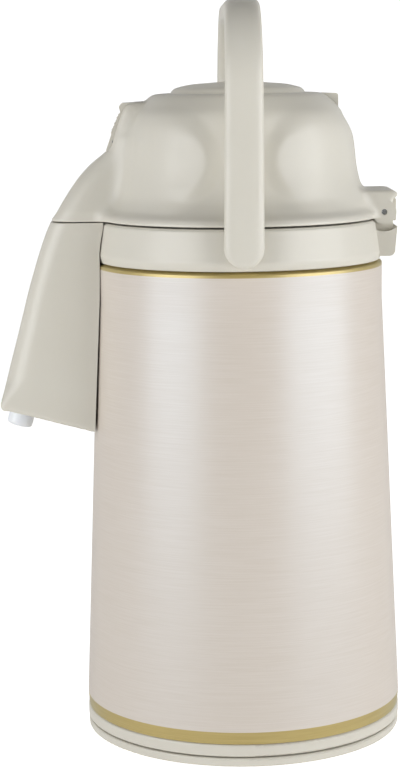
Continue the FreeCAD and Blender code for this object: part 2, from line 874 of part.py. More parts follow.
def make_spout():
    top = spout_top_z
    half = dim.spout_half_width
    reach = dim.spout_reach
    outer = padded("spout_outer", "XZ_Plane", spout_outline(size(0), size(0)),
                   half * 2, (0, 0, top))
    low = top - dim.spout_length
    brow_z = -dim.spout_brow_drop
    picks = []
    for side in (-1, 1):
        y = half * side
        picks.append((-dim.spout_top_reach - 1.5, y, -4))
        picks.append((-(dim.spout_brow_reach + reach) / 2, y,
                      (brow_z - dim.spout_length) / 2))
        picks.append((-reach + 12, y, -dim.spout_length - 3.2))
    softened(outer, dim.spout_lip_corner, picks)
    inner = padded("spout_inner", "XZ_Plane",
                   spout_outline(dim.spout_wall, dim.spout_roof),
                   (half - dim.spout_wall) * 2, (0, 0, top))
    gap = dim.part_gap + dim.fine_gap
    cone_low = dim.shell_low_radius + gap
    cone_top = dim.shell_top_radius + gap
    shell_form = turned("spout_shell_form", [
        (0, dim.foot_band),
        (cone_low, dim.foot_band),
        (cone_top, dim.shell_height - dim.shell_straight),
        (cone_top, dim.shell_height - dim.shoulder_drop),
        (dim.collar_radius - 1.2 + gap, dim.shell_height - 0.4),
        (dim.collar_radius + gap, dim.shell_height + 4.2, 6),
        (dim.collar_top_radius + 0.8 + gap, dim.shell_height + dim.collar_height + 3),
        (0, dim.shell_height + dim.collar_height + 3),
    ], (0, 0, shell_z))
    nozzle_hole = rod("nozzle_hole", dim.nozzle_radius + dim.fine_gap, 14)
    place(nozzle_hole, (dim.nozzle_x + sine(dim.spout_slope) * 6, 0,
                        nozzle_z + cosine(dim.spout_slope) * 6),
          (V(0, 1, 0), 180 + dim.spout_slope))
    tab_x = -dim.collar_radius - 15.6
    rise = dim.spout_tab_height / 2
    tabs = []
    tab_holes = []
    for side, y in spout_screw_places():
        start = y - (5 if y.value < 0 else 3.5)
        tabs.append(block(side + "_spout_tab", (tab_x, start, spout_screw_z - rise),
                          (tab_x + 22, start + dim.spout_tab_width, spout_screw_z + rise)))
        tab_holes.append(rod(side + "_tab_hole", dim.spout_screw_radius + dim.seat_gap, 14,
                             (tab_x + 4, y, spout_screw_z), "x"))
    hollow = carved("spout_hollow", outer, inner)
    seated = carved("spout_seated", fused("spout_tabbed", hollow, *tabs), shell_form)
    keep("spout_housing", carved("spout_housing", seated, nozzle_hole, *tab_holes))
    screws = []
    for side, y in spout_screw_places():
        shank = rod(side + "_spout_shank", dim.spout_screw_radius, 13.4,
                    (spout_seat_x - 13.4, y, spout_screw_z), "x")
        head = rod(side + "_spout_head", dim.spout_screw_head, 1.6,
                   (spout_seat_x, y, spout_screw_z), "x")
        screws.append(fused(side + "_spout_screw", shank, head))
    keep("spout_screws", group("spout_screws", screws))
    flange = dim.nozzle_radius + dim.nozzle_flange
    wall = dim.spout_wall
    nozzle = turned("nozzle", [
        (dim.nozzle_bore, -dim.nozzle_length),
        (dim.nozzle_radius, -dim.nozzle_length, 0.8),
        (dim.nozzle_radius, wall + dim.fine_gap),
        (flange, wall + dim.fine_gap),
        (flange, wall + 1.6),
        (5.4, wall + 1.6),
        (5.4, 12),
        (dim.pipe_radius + dim.fine_gap, 12),
        (dim.pipe_radius + dim.fine_gap, 6),
        (dim.nozzle_bore, 5),
    ])
    place(nozzle, (dim.nozzle_x, 0, nozzle_z), (V(0, 1, 0), dim.spout_slope))
    keep("nozzle", nozzle)


# ---------------------------------------------------------------- lid
def dome_outline(inset):
    """Half the dome's section, drawn in by a wall; heights from the lid's foot."""
    h = dim.lid_height
    r = dim.lid_flange_radius
    return [
        (0, 0 - inset),
        (r - inset, 0 - inset),
        (r - inset, 1.6),
        (r - 7.4 - inset, h - 50, 14),
        (r - 11.4 - inset, h - 32, 30),
        (r - 15.2 - inset, h - 15.7, 8),
        (r - 19.2 - inset * 0.9, h - 9.8 - inset * 0.4, 8),
        (r - 27.4 - inset * 0.4, h - 1.5 - inset * 0.9, 5),
        (0, h - inset),
    ]


def nose_outline(inset):
    """The nose's side view from its foot up behind the latch lever."""
    h = dim.lid_height
    reach = -dim.nose_reach + inset
    return [
        (reach, 0 - inset),
        (reach + 3.4, 4.2, 4),
        (reach + 15.8, h - 42.9, 60),
        (reach + 30.2 + inset * 0.2, h - 30.2 - inset * 0.8, 20),
        (-61.6 + inset, h - 8.8 - inset * 0.4, 8),
        (-53.2 + inset * 0.4, h - 1.6 - inset, 3),
        (-42, h - 1.4 - inset),
        (-42, 0 - inset),
    ]


def nose_form(label, inset):
    """The nose: wide at its foot, narrow at the latch lever."""
    bar = padded(label + "_bar", "XZ_Plane", nose_outline(inset),
                 dim.nose_foot_half * 2 - inset * 2, (0, 0, lid_z))
    wedge = padded(label + "_wedge", "YZ_Plane", [
        (-dim.nose_foot_half + inset, -6),
        (dim.nose_foot_half - inset, -6),
        (dim.nose_foot_half - inset, 6),
        (dim.nose_top_half - inset, dim.lid_height - 20),
        (dim.nose_top_half - inset, dim.lid_height + 4),
        (-dim.nose_top_half + inset, dim.lid_height + 4),
        (-dim.nose_top_half + inset, dim.lid_height - 20),
        (-dim.nose_foot_half + inset, 6),
    ], size(300), (0, 0, lid_z))
    return shared(label, bar, wedge)


def ear_parts():
    """The rear ear: a roofed block with a knuckle round the hinge pin."""
    half = dim.ear_half_width
    ear_top = hinge_z + dim.ear_height
    outer_bar = padded("ear_bar", "XZ_Plane", [
        (58, 0),
        (58, ear_top - lid_z),
        (dim.hinge_x + 2.5, ear_top - lid_z, 2),
        (dim.ear_reach, ear_top - lid_z - 4.5, 2),
        (dim.ear_reach, hinge_z - lid_z),
        (dim.hinge_x, hinge_z - lid_z),
        (dim.hinge_x - 6, 0),
    ], half * 2, (0, 0, lid_z))
    knuckle = centred_rod("ear_knuckle", dim.knuckle_radius, half * 2,
                          (dim.hinge_x, hinge_z))
    return fused("ear_outer", outer_bar, knuckle)


def ear_hollow():
    half = dim.ear_half_width - dim.ear_cheek
    roof = hinge_z + dim.ear_height - 2.2
    return padded("ear_hollow", "XZ_Plane", [
        (67, -8),
        (67, roof - lid_z - 3),
        (70, roof - lid_z),
        (dim.ear_reach - 4, roof - lid_z),
        (dim.ear_reach + 2, roof - lid_z - 5.6),
        (dim.ear_reach + 2, -8),
    ], half * 2, (0, 0, lid_z))


def make_lid_cover():
    dome = turned("dome_outer", dome_outline(size(0)), (0, 0, lid_z))
    dome_in = turned("dome_inner", dome_outline(dim.lid_wall), (0, 0, lid_z))
    sleeve = turned("plate_sleeve", [
        (plate_opening, -13.8),
        (sleeve_radius, -13.8),
        (sleeve_radius, -1),
        (plate_opening, -1),
    ], (0, 0, lid_top_z))
    pillars = []
    pilots = []
    for i, (x, y) in enumerate(on_circle(lid_screw_circle, 4, 45)):
        pillars.append(rod("pillar_%d" % i, dim.lid_pillar_radius, dim.lid_height - 4,
                           (x, y, lid_base_top_z)))
        pilots.append(rod("pilot_%d" % i, dim.lid_screw_radius + dim.seat_gap, 14,
                          (x, y, lid_base_top_z - 1)))
    posts = shared("lid_pillars", fused("pillar_rods", *pillars), dome)
    skin = carved("lid_skin", fused("lid_outer", dome, nose_form("nose_outer", size(0)),
                                    ear_parts()),
                  dome_in, nose_form("nose_inner", dim.lid_wall), ear_hollow())
    plate_bore = rod("plate_bore", plate_opening, 30, (0, 0, lid_top_z - 16))
    lever_bay = padded("lever_bay", "XZ_Plane", [
        (-80, -30.6),
        (-64.6, -30.6),
        (-60, -18.8),
        (-52.6, -9.2),
        (-47.6, -8.2),
        (-47.6, -3.8),
        (-50.2, -3.8),
        (-50.2, 3),
        (-80, 3),
    ], (dim.lever_half_width + dim.part_gap) * 2, (0, 0, lid_top_z))
    latch_bore = centred_rod("latch_bore", dim.latch_pin_radius + dim.seat_gap,
                             (dim.nose_top_half - 0.6) * 2, latch_pin)
    arm_half = dim.latch_arm_side + dim.latch_arm_width + 0.6
    arm_bay = block("arm_bay", (dim.latch_pin_x - 1.7, -arm_half, lid_top_z - 46),
                    (-55, arm_half, lid_top_z - 16))
    tab_slot = tab_slot_form()
    hinge_bore = centred_rod("lid_hinge_bore", dim.hinge_pin_radius + dim.run_gap,
                             dim.ear_half_width * 2 + 4, hinge_pin)
    hanger_y = dim.release_half_width + dim.part_gap * 2
    release_bore = centred_rod("release_bore", dim.release_pin_radius + dim.seat_gap,
                               (hanger_y + 2.2) * 2, release_pin)

    def hanger(side, sign):
        y = hanger_y if sign > 0 else -hanger_y - 1.8
        x, z = release_pin
        return block(side + "_hanger", (x - 1.8, y, z - 1.6), (x + 2, y + 1.8, z + 3.6))

    whole = fused("lid_whole", skin, sleeve, posts, *both_sides(hanger))
    keep("lid_cover", carved("lid_cover", whole, plate_bore, lever_bay, arm_bay, latch_bore,
                             tab_slot, hinge_bore, release_bore, *pilots))


def tab_slot_form():
    """The slot in the rear shoulder that the lock tab slides along."""
    body = body_named("tab_slot")
    feature = body.newObject("PartDesign::Revolution", "tab_slot_turned")
    feature.Profile = sketch_in(body, "XZ_Plane", [
        (lock_ring_outer + 1.8, -14),
        (lock_tab_reach + 1.2, -14),
        (lock_tab_reach + 1.2, 3),
        (lock_ring_outer + 1.8, 3),
    ])
    feature.ReferenceAxis = (feature.Profile[0], ["V_Axis"])
    bind(feature, "Angle", dim.lock_turn + 14)
    body.Tip = feature
    place(body, (0, 0, lid_top_z), (V(0, 0, 1), -7))
    doc.recompute()
    return body


def make_lid_inside():
    plate = dim.lid_base_plate
    disc = turned("lid_base_disc", [
        (0, 0),
        (dim.lid_base_radius, 0),
        (dim.lid_base_radius, plate),
        (bellows_seat() + 1.4, plate),
        (bellows_seat() + 1.4, plate + 3),
        (bellows_seat(), plate + 3),
        (bellows_seat(), plate),
        (0, plate),
    ], (0, 0, lid_base_z))
    tongue_half = dim.nose_foot_half - dim.lid_wall - dim.part_gap
    tongue = block("lid_base_tongue",
                   (-dim.nose_reach + dim.lid_wall + 4, -tongue_half, lid_base_z),
                   (-60, tongue_half, lid_base_top_z))
    air_hole = rod("air_hole", dim.valve_hole_radius, plate + 2,
                   (dim.valve_x, 0, lid_base_z - 1))
    slots = hook_slots("arm_slot", lid_base_z - 1, lid_base_top_z + 1)
    notch_half = dim.ear_half_width - dim.ear_cheek
    rear_notch = block("rear_notch", (dim.hinge_x - dim.hinge_well, -notch_half, lid_base_z - 1),
                       (dim.hinge_x + 4, notch_half, lid_base_top_z + 1))
    screw_holes = []
    screws = []
    head_height = 1.7
    for i, (x, y) in enumerate(on_circle(lid_screw_circle, 4, 45)):
        screw_holes.append(rod("screw_hole_%d" % i, dim.lid_screw_radius + dim.part_gap,
                               plate + 2, (x, y, lid_base_z - 1)))
        shank = rod("lid_shank_%d" % i, dim.lid_screw_radius, dim.lid_screw_length,
                    (x, y, lid_base_z - dim.fine_gap))
        head = rod("lid_head_%d" % i, dim.lid_screw_head, head_height,
                   (x, y, lid_base_z - head_height))
        screws.append(fused("lid_screw_%d" % i, shank, head))
    keep("lid_base", carved("lid_base", fused("lid_base_solid", disc, tongue),
                            air_hole, rear_notch, *slots, *screw_holes))
    keep("lid_screws", group("lid_screws", screws))
    keep("lid_gasket", turned("lid_gasket", [
        (dim.gasket_inner, collar_top_z + dim.part_gap),
        (dim.gasket_outer, collar_top_z + dim.part_gap),
        (dim.gasket_outer, lid_base_z),
        (dim.gasket_inner, lid_base_z),
    ]))
    keep("outlet_valve", turned("outlet_valve", [
        (0, 0),
        (dim.outlet_valve_radius, 0),
        (dim.outlet_valve_radius, dim.outlet_valve_height),
        (0, dim.outlet_valve_height),
    ], (dim.valve_x, 0, lid_base_top_z)))
    cage_in = dim.valve_cage_radius - dim.valve_cage_wall
    ball_low = lid_base_z - dim.fine_gap * 3 - dim.tilt_ball_lift - dim.tilt_ball_radius * 2
    cage_floor = ball_low - dim.fine_gap
    keep("valve_cage", turned("valve_cage", [
        (2.4, cage_floor - 1),
        (dim.valve_cage_radius, cage_floor - 1),
        (dim.valve_cage_radius, lid_base_z),
        (cage_in, lid_base_z),
        (cage_in, cage_floor),
        (2.4, cage_floor),
    ], (dim.valve_x, 0, 0)))
    keep("tilt_ball", ball("tilt_ball", dim.tilt_ball_radius,
                           (dim.valve_x, 0, ball_low + dim.tilt_ball_radius)))


def bellows_seat():
    return dim.bellows_radius + dim.part_gap


# ---------------------------------------------------------------- pump
def make_pump():
    r = dim.plate_radius
    holder = dim.bellows_radius - dim.bellows_fold + 1
    plate = turned("push_plate", [
        (0, 0),
        (r - 9.6, -1.8, 50),
        (r - 1.2, -4.2, 5),
        (r, -7.6, 1.5),
        (r, -dim.plate_skirt),
        (r - 1.8, -dim.plate_skirt),
        (r - 1.8, -7.4),
        (holder + 1.8, -4.6),
        (holder + 1.8, -12),
        (holder, -12),
        (holder, -4.2),
        (0, -2.6),
    ], (0, 0, plate_top_z))
    keep("push_plate", plate)
    low = lid_base_top_z
    high = plate_top_z - 12
    wall = dim.bellows_wall
    outer_r = dim.bellows_radius
    inner_r = dim.bellows_radius - dim.bellows_fold
    folds = int(dim.bellows_folds.value)
    pitch = (high - low) / (folds * 2)
    outside = []
    inside = []
    for i in range(folds * 2 + 1):
        level = low + pitch * i
        r_out = outer_r if i % 2 == 0 else inner_r + wall
        outside.append((r_out, level))
        inside.append((r_out - wall, level))
    keep("bellows", turned("bellows", outside + inside[::-1]))
    keep("return_spring", make_spring())
    keep("inlet_valve", turned("inlet_valve", [
        (0, -5.2),
        (5, -5.2),
        (5, -4.2),
        (1.6, -4.2),
        (1.6, -2.7),
        (0, -2.7),
    ], (0, 0, plate_top_z)))


def make_spring():
    """A helical wire spring inside the bellows."""
    low = lid_base_top_z.value + dim.spring_wire.value + 0.1
    high = plate_top_z.value - 6.4 - dim.spring_wire.value
    turns = dim.spring_turns.value
    radius = dim.spring_radius.value
    helix = Part.makeHelix((high - low) / turns, high - low, radius)
    wire = Part.Wire(helix.Edges)
    ring = Part.Circle(V(radius, 0, 0), V(0, 1, 0), dim.spring_wire.value).toShape()
    coil = wire.makePipeShell([Part.Wire([ring])], True, True)
    spring = doc.addObject("Part::Feature", "return_spring")
    spring.Shape = coil
    spring.Placement = FreeCAD.Placement(V(0, 0, low), FreeCAD.Rotation())
    return spring


# ---------------------------------------------------------------- small controls
def make_lock_ring():
    ring_low = -13.4
    ring = turned("lock_ring_band", [
        (lock_ring_inner, ring_low),
        (lock_ring_outer, ring_low),
        (lock_ring_outer, -9.8),
        (lock_ring_inner, -9.8),
    ], (0, 0, lid_top_z))
    reach = lock_tab_reach
    tab = padded("lock_tab", "XZ_Plane", [
        (lock_ring_outer - 1, ring_low),
        (lock_ring_outer - 1, -9.8),
        (lock_ring_outer + 2.6, -9.8),
        (lock_ring_outer + 2.6, -0.3, 0.8),
        (reach, -0.8, 1.2),
        (reach, -8.2),
        (lock_ring_outer + 5, ring_low),
    ], dim.lock_tab_half * 2, (0, 0, lid_top_z))
    keep("lock_ring", fused("lock_ring", ring, tab))


def make_latch():
    half = dim.lever_half_width
    blade = padded("latch_blade", "XZ_Plane", [
        (-70.4, -30.0, 0.8),
        (-66.4, -18.8, 12),
        (-62.2, -9.2),
        (-63.0, -6.4, 0.7),
        (-61.6, -4.6, 0.9),
        (-51.2, -4.1),
        (-51.2, -5.8),
        (-58.4, -6.8, 3),
        (-63.4, -19.0, 12),
        (-66.0, -27.4),
        (-67.4, -30.0),
    ], half * 2, (0, 0, lid_top_z))
    ribs = [
        centred_rod("latch_rib_%d" % i, size(0.7), half * 2 - 5,
                    (-66.3 + 1.35 * i, lid_top_z - 18.4 + 3.1 * i))
        for i in range(3)
    ]
    arm_top = dim.lid_height - dim.latch_pin_drop + 0.8
    back = dim.latch_pin_x + 1.0

    def arm(side, sign):
        middle = dim.latch_arm_side + dim.latch_arm_width / 2
        return padded(side + "_latch_arm", "XZ_Plane", [
            (back - 2.2, -dim.latch_hook_depth),
            (back - 2.2, arm_top),
            (back, arm_top),
            (back, -dim.latch_hook_depth + 2.6),
            (back + dim.part_gap, -dim.latch_hook_depth),
        ], dim.latch_arm_width, (0, middle * sign, lid_z))

    boss = centred_rod("latch_boss", dim.latch_boss_radius, half * 2, latch_pin)
    bore = centred_rod("latch_lever_bore", dim.latch_pin_radius + dim.run_gap,
                       half * 2 + 2, latch_pin)
    lever = fused("latch_solid", blade, boss, *ribs, *both_sides(arm))
    keep("latch_lever", carved("latch_lever", lever, bore))
    keep("latch_pin", centred_rod("latch_pin", dim.latch_pin_radius,
                                  (dim.nose_top_half - 0.8) * 2, latch_pin))


def make_hinge_release():
    x = dim.release_pin_x
    blade = padded("release_blade", "XZ_Plane", [
        (x + 1, -2.2, 0.8),
        (x + 1, 8),
        (x - 1.6, 10),
        (x - 1.6, 12.2, 0.8),
        (x + 0.4, 12.2, 0.8),
        (x + 3, 9.2, 1),
        (x + 3, -2.2, 0.8),
    ], dim.release_half_width * 2, (0, 0, lid_z))
    bore = centred_rod("release_lever_bore", dim.release_pin_radius + dim.run_gap,
                       (dim.release_half_width + 1) * 2, release_pin)
    keep("hinge_release", carved("hinge_release", blade, bore))
    keep("release_pin", centred_rod("release_pin", dim.release_pin_radius,
                                    (dim.release_half_width + 2.2) * 2, release_pin))


# ---------------------------------------------------------------- handle
def make_handle():
    near = dim.handle_half_gap
    outer = near + dim.handle_depth
    top = dim.handle_reach
    foot = -dim.handle_width / 2
    hoop = padded("handle_hoop", "YZ_Plane", [
        (-outer, foot),
        (-outer, top, dim.handle_bend),
        (outer, top, dim.handle_bend),
        (outer, foot),
        (near, foot),
        (near, top - dim.handle_grip, dim.handle_bend - dim.handle_depth),
        (-near, top - dim.handle_grip, dim.handle_bend - dim.handle_depth),
        (-near, foot),
    ], dim.handle_width, (0, 0, handle_z))
    middle = near + dim.handle_depth / 2
    half = dim.handle_width / 2
    ends = [(x, y, foot) for x in (-half, half) for y in (-middle, middle)]
    softened(hoop, half - 0.1, ends)
    rims = []
    for x in (-half, half):
        for y in (-outer, outer, -near, near):
            rims.append((x, y, 30))
    softened(hoop, dim.handle_round, rims)
    bore = dim.handle_pin_radius + dim.run_gap
    bores = [
        rod("near_arm_bore", bore, dim.handle_pin_grip + 1.3,
            (0, -near - dim.handle_pin_grip, handle_z), "y"),
        rod("far_arm_bore", bore, dim.handle_pin_grip + 1.3, (0, near - 1.3, handle_z), "y"),
    ]
    keep("handle", carved("handle", hoop, *bores))


# ---------------------------------------------------------------- build
make_swivel_base()
make_bottom_cover()
make_shell()
make_collar()
make_liner()
make_water_path()
make_spout()
make_lid_cover()
make_lid_inside()
make_pump()
make_lock_ring()
make_latch()
make_hinge_release()
make_handle()
doc.recompute()

for thing in doc.Objects:
    faults = {"Invalid", "Error"} & set(thing.State)
    if faults:
        raise RuntimeError("%s failed: %s" % (thing.Label, thing.State))
for node, thing in NODES.items():
    if thing.Shape.isNull() or not thing.Shape.isValid() or not thing.Shape.Solids:
        raise RuntimeError("%s has no valid solid" % node)

os.makedirs("parts", exist_ok=True)
for node, thing in NODES.items():
    thing.Shape.exportStep(os.path.join("parts", node + ".step"))
    print("%-16s %2d solid(s) %10.1f mm3" % (node, len(thing.Shape.Solids), thing.Shape.Volume))
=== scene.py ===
"""Looks of the pump pot: its finishes, the sculpted lid cover and a pale studio.

Forms are worked out in millimetres about the pot's axis, with +Z up, the spout
towards -X and the lid's hinge towards +X, and turned to metres in the mesh.
"""

import json
import math

import bpy
import numpy as np
from mathutils import Matrix, Vector


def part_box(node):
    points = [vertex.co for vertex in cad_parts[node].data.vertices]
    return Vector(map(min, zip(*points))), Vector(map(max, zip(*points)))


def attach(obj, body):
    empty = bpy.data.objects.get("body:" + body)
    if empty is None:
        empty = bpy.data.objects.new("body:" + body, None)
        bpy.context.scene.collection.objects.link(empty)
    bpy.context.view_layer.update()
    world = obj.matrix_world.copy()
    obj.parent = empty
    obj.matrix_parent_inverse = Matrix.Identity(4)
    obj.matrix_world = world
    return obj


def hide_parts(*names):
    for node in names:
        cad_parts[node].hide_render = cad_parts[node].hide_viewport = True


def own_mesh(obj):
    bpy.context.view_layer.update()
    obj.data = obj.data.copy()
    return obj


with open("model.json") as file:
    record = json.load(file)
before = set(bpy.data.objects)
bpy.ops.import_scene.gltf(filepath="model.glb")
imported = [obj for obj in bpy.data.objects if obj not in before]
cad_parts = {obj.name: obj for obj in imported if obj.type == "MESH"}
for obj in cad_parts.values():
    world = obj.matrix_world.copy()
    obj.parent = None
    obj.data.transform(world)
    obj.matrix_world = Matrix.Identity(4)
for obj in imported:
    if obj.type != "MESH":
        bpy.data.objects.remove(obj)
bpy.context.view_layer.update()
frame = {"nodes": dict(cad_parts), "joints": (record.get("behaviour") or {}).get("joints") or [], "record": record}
nodes = frame["nodes"]
joints = {joint["name"]: joint for joint in frame["joints"]}
scene = bpy.context.scene
MM = 0.001


def low(node):
    """A node's lowest corner in millimetres."""
    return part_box(node)[0] / MM


def high(node):
    """A node's highest corner in millimetres."""
    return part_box(node)[1] / MM


# ---------------------------------------------------------------- node helpers
def add(tree, kind, settings=None, links=None):
    """Add a node; settings fill its inputs or properties, links feed its inputs."""
    node = tree.nodes.new(kind)
    for name, value in (settings or {}).items():
        if isinstance(name, int) or name in node.inputs:
            node.inputs[name].default_value = value
        else:
            setattr(node, name, value)
    for name, source in (links or {}).items():
        tree.links.new(source, node.inputs[name])
    return node


def colour(code):
    """An sRGB hex colour as linear RGBA."""
    shares = [int(code[i:i + 2], 16) / 255 for i in (1, 3, 5)]
    linear = [s / 12.92 if s <= 0.04045 else ((s + 0.055) / 1.055) ** 2.4 for s in shares]
    return (*linear, 1.0)


def surface(name, **settings):
    """A material of one Principled shader; returns it with its tree and shader."""
    material = bpy.data.materials.new(name)
    material.use_nodes = True
    tree = material.node_tree
    tree.nodes.clear()
    shader = add(tree, "ShaderNodeBsdfPrincipled", settings)
    add(tree, "ShaderNodeOutputMaterial", links={"Surface": shader.outputs["BSDF"]})
    return material, tree, shader


def own_coordinates(tree, scale=(1, 1, 1)):
    """The piece's own coordinates, stretched by a scale."""
    source = add(tree, "ShaderNodeTexCoord")
    return add(tree, "ShaderNodeMapping", {"Scale": scale},
               {"Vector": source.outputs["Object"]}).outputs["Vector"]


def noise(tree, vector, size_mm, detail=2.0):
    """A noise whose patches are about size_mm across."""
    return add(tree, "ShaderNodeTexNoise", {"Scale": 1 / (size_mm * MM), "Detail": detail},
               {"Vector": vector}).outputs["Fac"]


def mixed(tree, share, first, second):
    """Two colours or sockets mixed by a share socket."""
    settings, links = {"data_type": "RGBA"}, {0: share}
    for slot, item in ((6, first), (7, second)):
        if isinstance(item, tuple):
            settings[slot] = item
        else:
            links[slot] = item
    return add(tree, "ShaderNodeMix", settings, links).outputs[2]


def ranged(tree, value, span, result):
    """Map a value's span onto a result range."""
    return add(tree, "ShaderNodeMapRange", {
        "From Min": span[0], "From Max": span[1],
        "To Min": result[0], "To Max": result[1],
    }, {"Value": value}).outputs["Result"]


def bumped(tree, shader, height, depth_mm, strength=1.0):
    """Raise a height pattern by up to depth_mm on a shader's normal."""
    bump = add(tree, "ShaderNodeBump", {"Strength": strength, "Distance": depth_mm * MM},
               {"Height": height})
    tree.links.new(bump.outputs["Normal"], shader.inputs["Normal"])


# ---------------------------------------------------------------- finishes
def moulded_plastic(name, tone, shade, roughness, ripple_mm):
    """Injection moulded polypropylene: an even tone that drifts a little with the
    flow of the melt, a gloss off a polished tool and a faint sink ripple."""
    material, tree, shader = surface(name, **{
        "Roughness": roughness,
        "IOR": 1.49,
        "Subsurface Weight": 0.08,
        "Subsurface Radius": (1.0, 0.9, 0.7),
        "Subsurface Scale": 1.2 * MM,
    })
    vector = own_coordinates(tree)
    flow = noise(tree, vector, 45.0)
    tree.links.new(mixed(tree, flow, colour(tone), colour(shade)),
                   shader.inputs["Base Color"])
    tree.links.new(ranged(tree, noise(tree, vector, 9.0), (0.3, 0.7),
                          (roughness * 0.9, roughness * 1.12)),
                   shader.inputs["Roughness"])
    bumped(tree, shader, noise(tree, vector, 6.0), ripple_mm)
    return material


def pearl_lacquer():
    """Pearl champagne lacquer on rolled steel sheet: its mica throws a cool broad
    gloss over the warm ground, fine rolling lines round the body show through it,
    and both edges carry a printed band of gold ink."""
    material, tree, shader = surface("pearl_lacquer", **{
        "IOR": 2.0,
        "Specular Tint": colour("#D8EEFF"),
        "Coat Weight": 0.25,
        "Coat Roughness": 0.3,
    })
    shell_low, shell_high = low("outer_shell").z, high("outer_shell").z
    band_low = shell_low + 6.4
    band_high = shell_high - 2.9
    edge = 0.06
    source = add(tree, "ShaderNodeTexCoord").outputs["Object"]
    height = add(tree, "ShaderNodeSeparateXYZ", links={"Vector": source}).outputs["Z"]
    foot = ranged(tree, height, ((band_low - edge) * MM, (band_low + edge) * MM), (1, 0))
    crown = ranged(tree, height, ((band_high - edge) * MM, (band_high + edge) * MM), (0, 1))
    gold = add(tree, "ShaderNodeMath", {"operation": "MAXIMUM"},
               {0: foot, 1: crown}).outputs["Value"]
    # rolling lines are finer than 0.1 mm; these are 0.5 mm so that they show
    lines = noise(tree, own_coordinates(tree, (0.02, 0.02, 1)), 0.5, 3.0)
    lacquer = mixed(tree, ranged(tree, lines, (0.3, 0.7), (0, 1)),
                    colour("#D8CBBC"), colour("#DED2C5"))
    ink = mixed(tree, ranged(tree, lines, (0.3, 0.7), (0, 1)),
                colour("#BDA55E"), colour("#C8B26C"))
    tree.links.new(mixed(tree, gold, lacquer, ink), shader.inputs["Base Color"])
    tree.links.new(ranged(tree, gold, (0, 1), (0.0, 0.45)), shader.inputs["Metallic"])
    tree.links.new(ranged(tree, gold, (0, 1), (0.38, 0.34)), shader.inputs["Roughness"])
    bumped(tree, shader, lines, 0.006)
    return material


def silvered_glass():
    """Blown vacuum glass, silvered between its walls: a clear mirror, a little wavy."""
    material, tree, shader = surface("silvered_glass", **{
        "Base Color": colour("#DDE1E4"),
        "Metallic": 1.0,
        "Roughness": 0.06,
        "Coat Weight": 1.0,
        "Coat Roughness": 0.02,
    })
    bumped(tree, shader, noise(tree, own_coordinates(tree), 22.0), 0.15)
    return material


def silicone_rubber():
    """Pressed silicone rubber: matt grey with a soft dusty sheen."""
    material, tree, shader = surface("silicone_rubber", **{
        "Roughness": 0.62,
        "IOR": 1.41,
        "Sheen Weight": 0.15,
    })
    speckle = noise(tree, own_coordinates(tree), 1.4)
    tree.links.new(mixed(tree, speckle, colour("#A9A8A3"), colour("#BAB9B4")),
                   shader.inputs["Base Color"])
    bumped(tree, shader, speckle, 0.02)
    return material


def drawn_steel():
    """Bright drawn steel wire and turned pins: lines run round the metal."""
    material, tree, shader = surface("drawn_steel", **{
        "Base Color": colour("#B9BABA"),
        "Metallic": 1.0,
    })
    lines = noise(tree, own_coordinates(tree, (1, 0.05, 1)), 0.35)
    tree.links.new(ranged(tree, lines, (0.3, 0.7), (0.2, 0.34)), shader.inputs["Roughness"])
    bumped(tree, shader, lines, 0.01)
    return material


def frosted_polypropylene():
    """Unfilled polypropylene: milky, lets light through, satin off a blasted tool."""
    material, tree, shader = surface("frosted_polypropylene", **{
        "Roughness": 0.34,
        "IOR": 1.49,
        "Subsurface Weight": 0.7,
        "Subsurface Radius": (1.0, 1.0, 1.1),
        "Subsurface Scale": 4 * MM,
    })
    cloud = noise(tree, own_coordinates(tree), 5.0)
    tree.links.new(mixed(tree, cloud, colour("#F1F4FA"), colour("#E9EDF5")),
                   shader.inputs["Base Color"])
    bumped(tree, shader, noise(tree, own_coordinates(tree), 0.8), 0.01)
    return material


FINISHES = {
    "ivory_plastic": moulded_plastic("moulded_ivory_plastic", "#DDD9CD", "#D9D4C7", 0.33, 0.03),
    "inner_plastic": moulded_plastic("moulded_white_plastic", "#D9D8D4", "#D2D1CC", 0.4, 0.02),
    "lacquered_shell": pearl_lacquer(),
    "silvered_glass": silvered_glass(),
    "silicone": silicone_rubber(),
    "steel": drawn_steel(),
    "clear_plastic": frosted_polypropylene(),
}


def finish_cad_nodes():
    """Give every kept CAD node the finish of its material slot."""
    for part in frame["record"]["subparts"]:
        mesh = nodes[part["node"]].data
        mesh.materials.clear()
        mesh.materials.append(FINISHES[part["material_slot"]])


# ---------------------------------------------------------------- mesh helpers
def piece_from(name, vertices, faces, slot):
    """A smooth-shaded piece from points in millimetres."""
    mesh = bpy.data.meshes.new(name)
    mesh.from_pydata((np.asarray(vertices) * MM).tolist(), [], faces)
    mesh.validate()
    piece = bpy.data.objects.new(name, mesh)
    scene.collection.objects.link(piece)
    mesh.materials.append(FINISHES[slot])
    mesh.shade_smooth()
    return piece


def ring_of_columns(name, grid, slot):
    """Close a grid of columns by points both ways, as a ring is closed."""
    columns, count = grid.shape[:2]
    faces = []
    for i in range(columns):
        j = (i + 1) % columns
        for k in range(count):
            n = (k + 1) % count
            faces.append((i * count + k, j * count + k, j * count + n, i * count + n))
    return piece_from(name, grid.reshape(-1, 3), faces, slot)


def smooth_line(points, steps):
    """A Catmull-Rom line through the points, with steps spans between two."""
    points = np.asarray(points, float)
    ends = np.vstack([2 * points[0] - points[1], points, 2 * points[-1] - points[-2]])
    line = []
    for a, b, c, d in zip(ends, ends[1:], ends[2:], ends[3:]):
        for t in np.arange(steps) / steps:
            line.append(0.5 * (2 * b + (c - a) * t + (2 * a - 5 * b + 4 * c - d) * t ** 2
                               + (3 * b - a - 3 * c + d) * t ** 3))
    return np.array(line + [points[-1]])


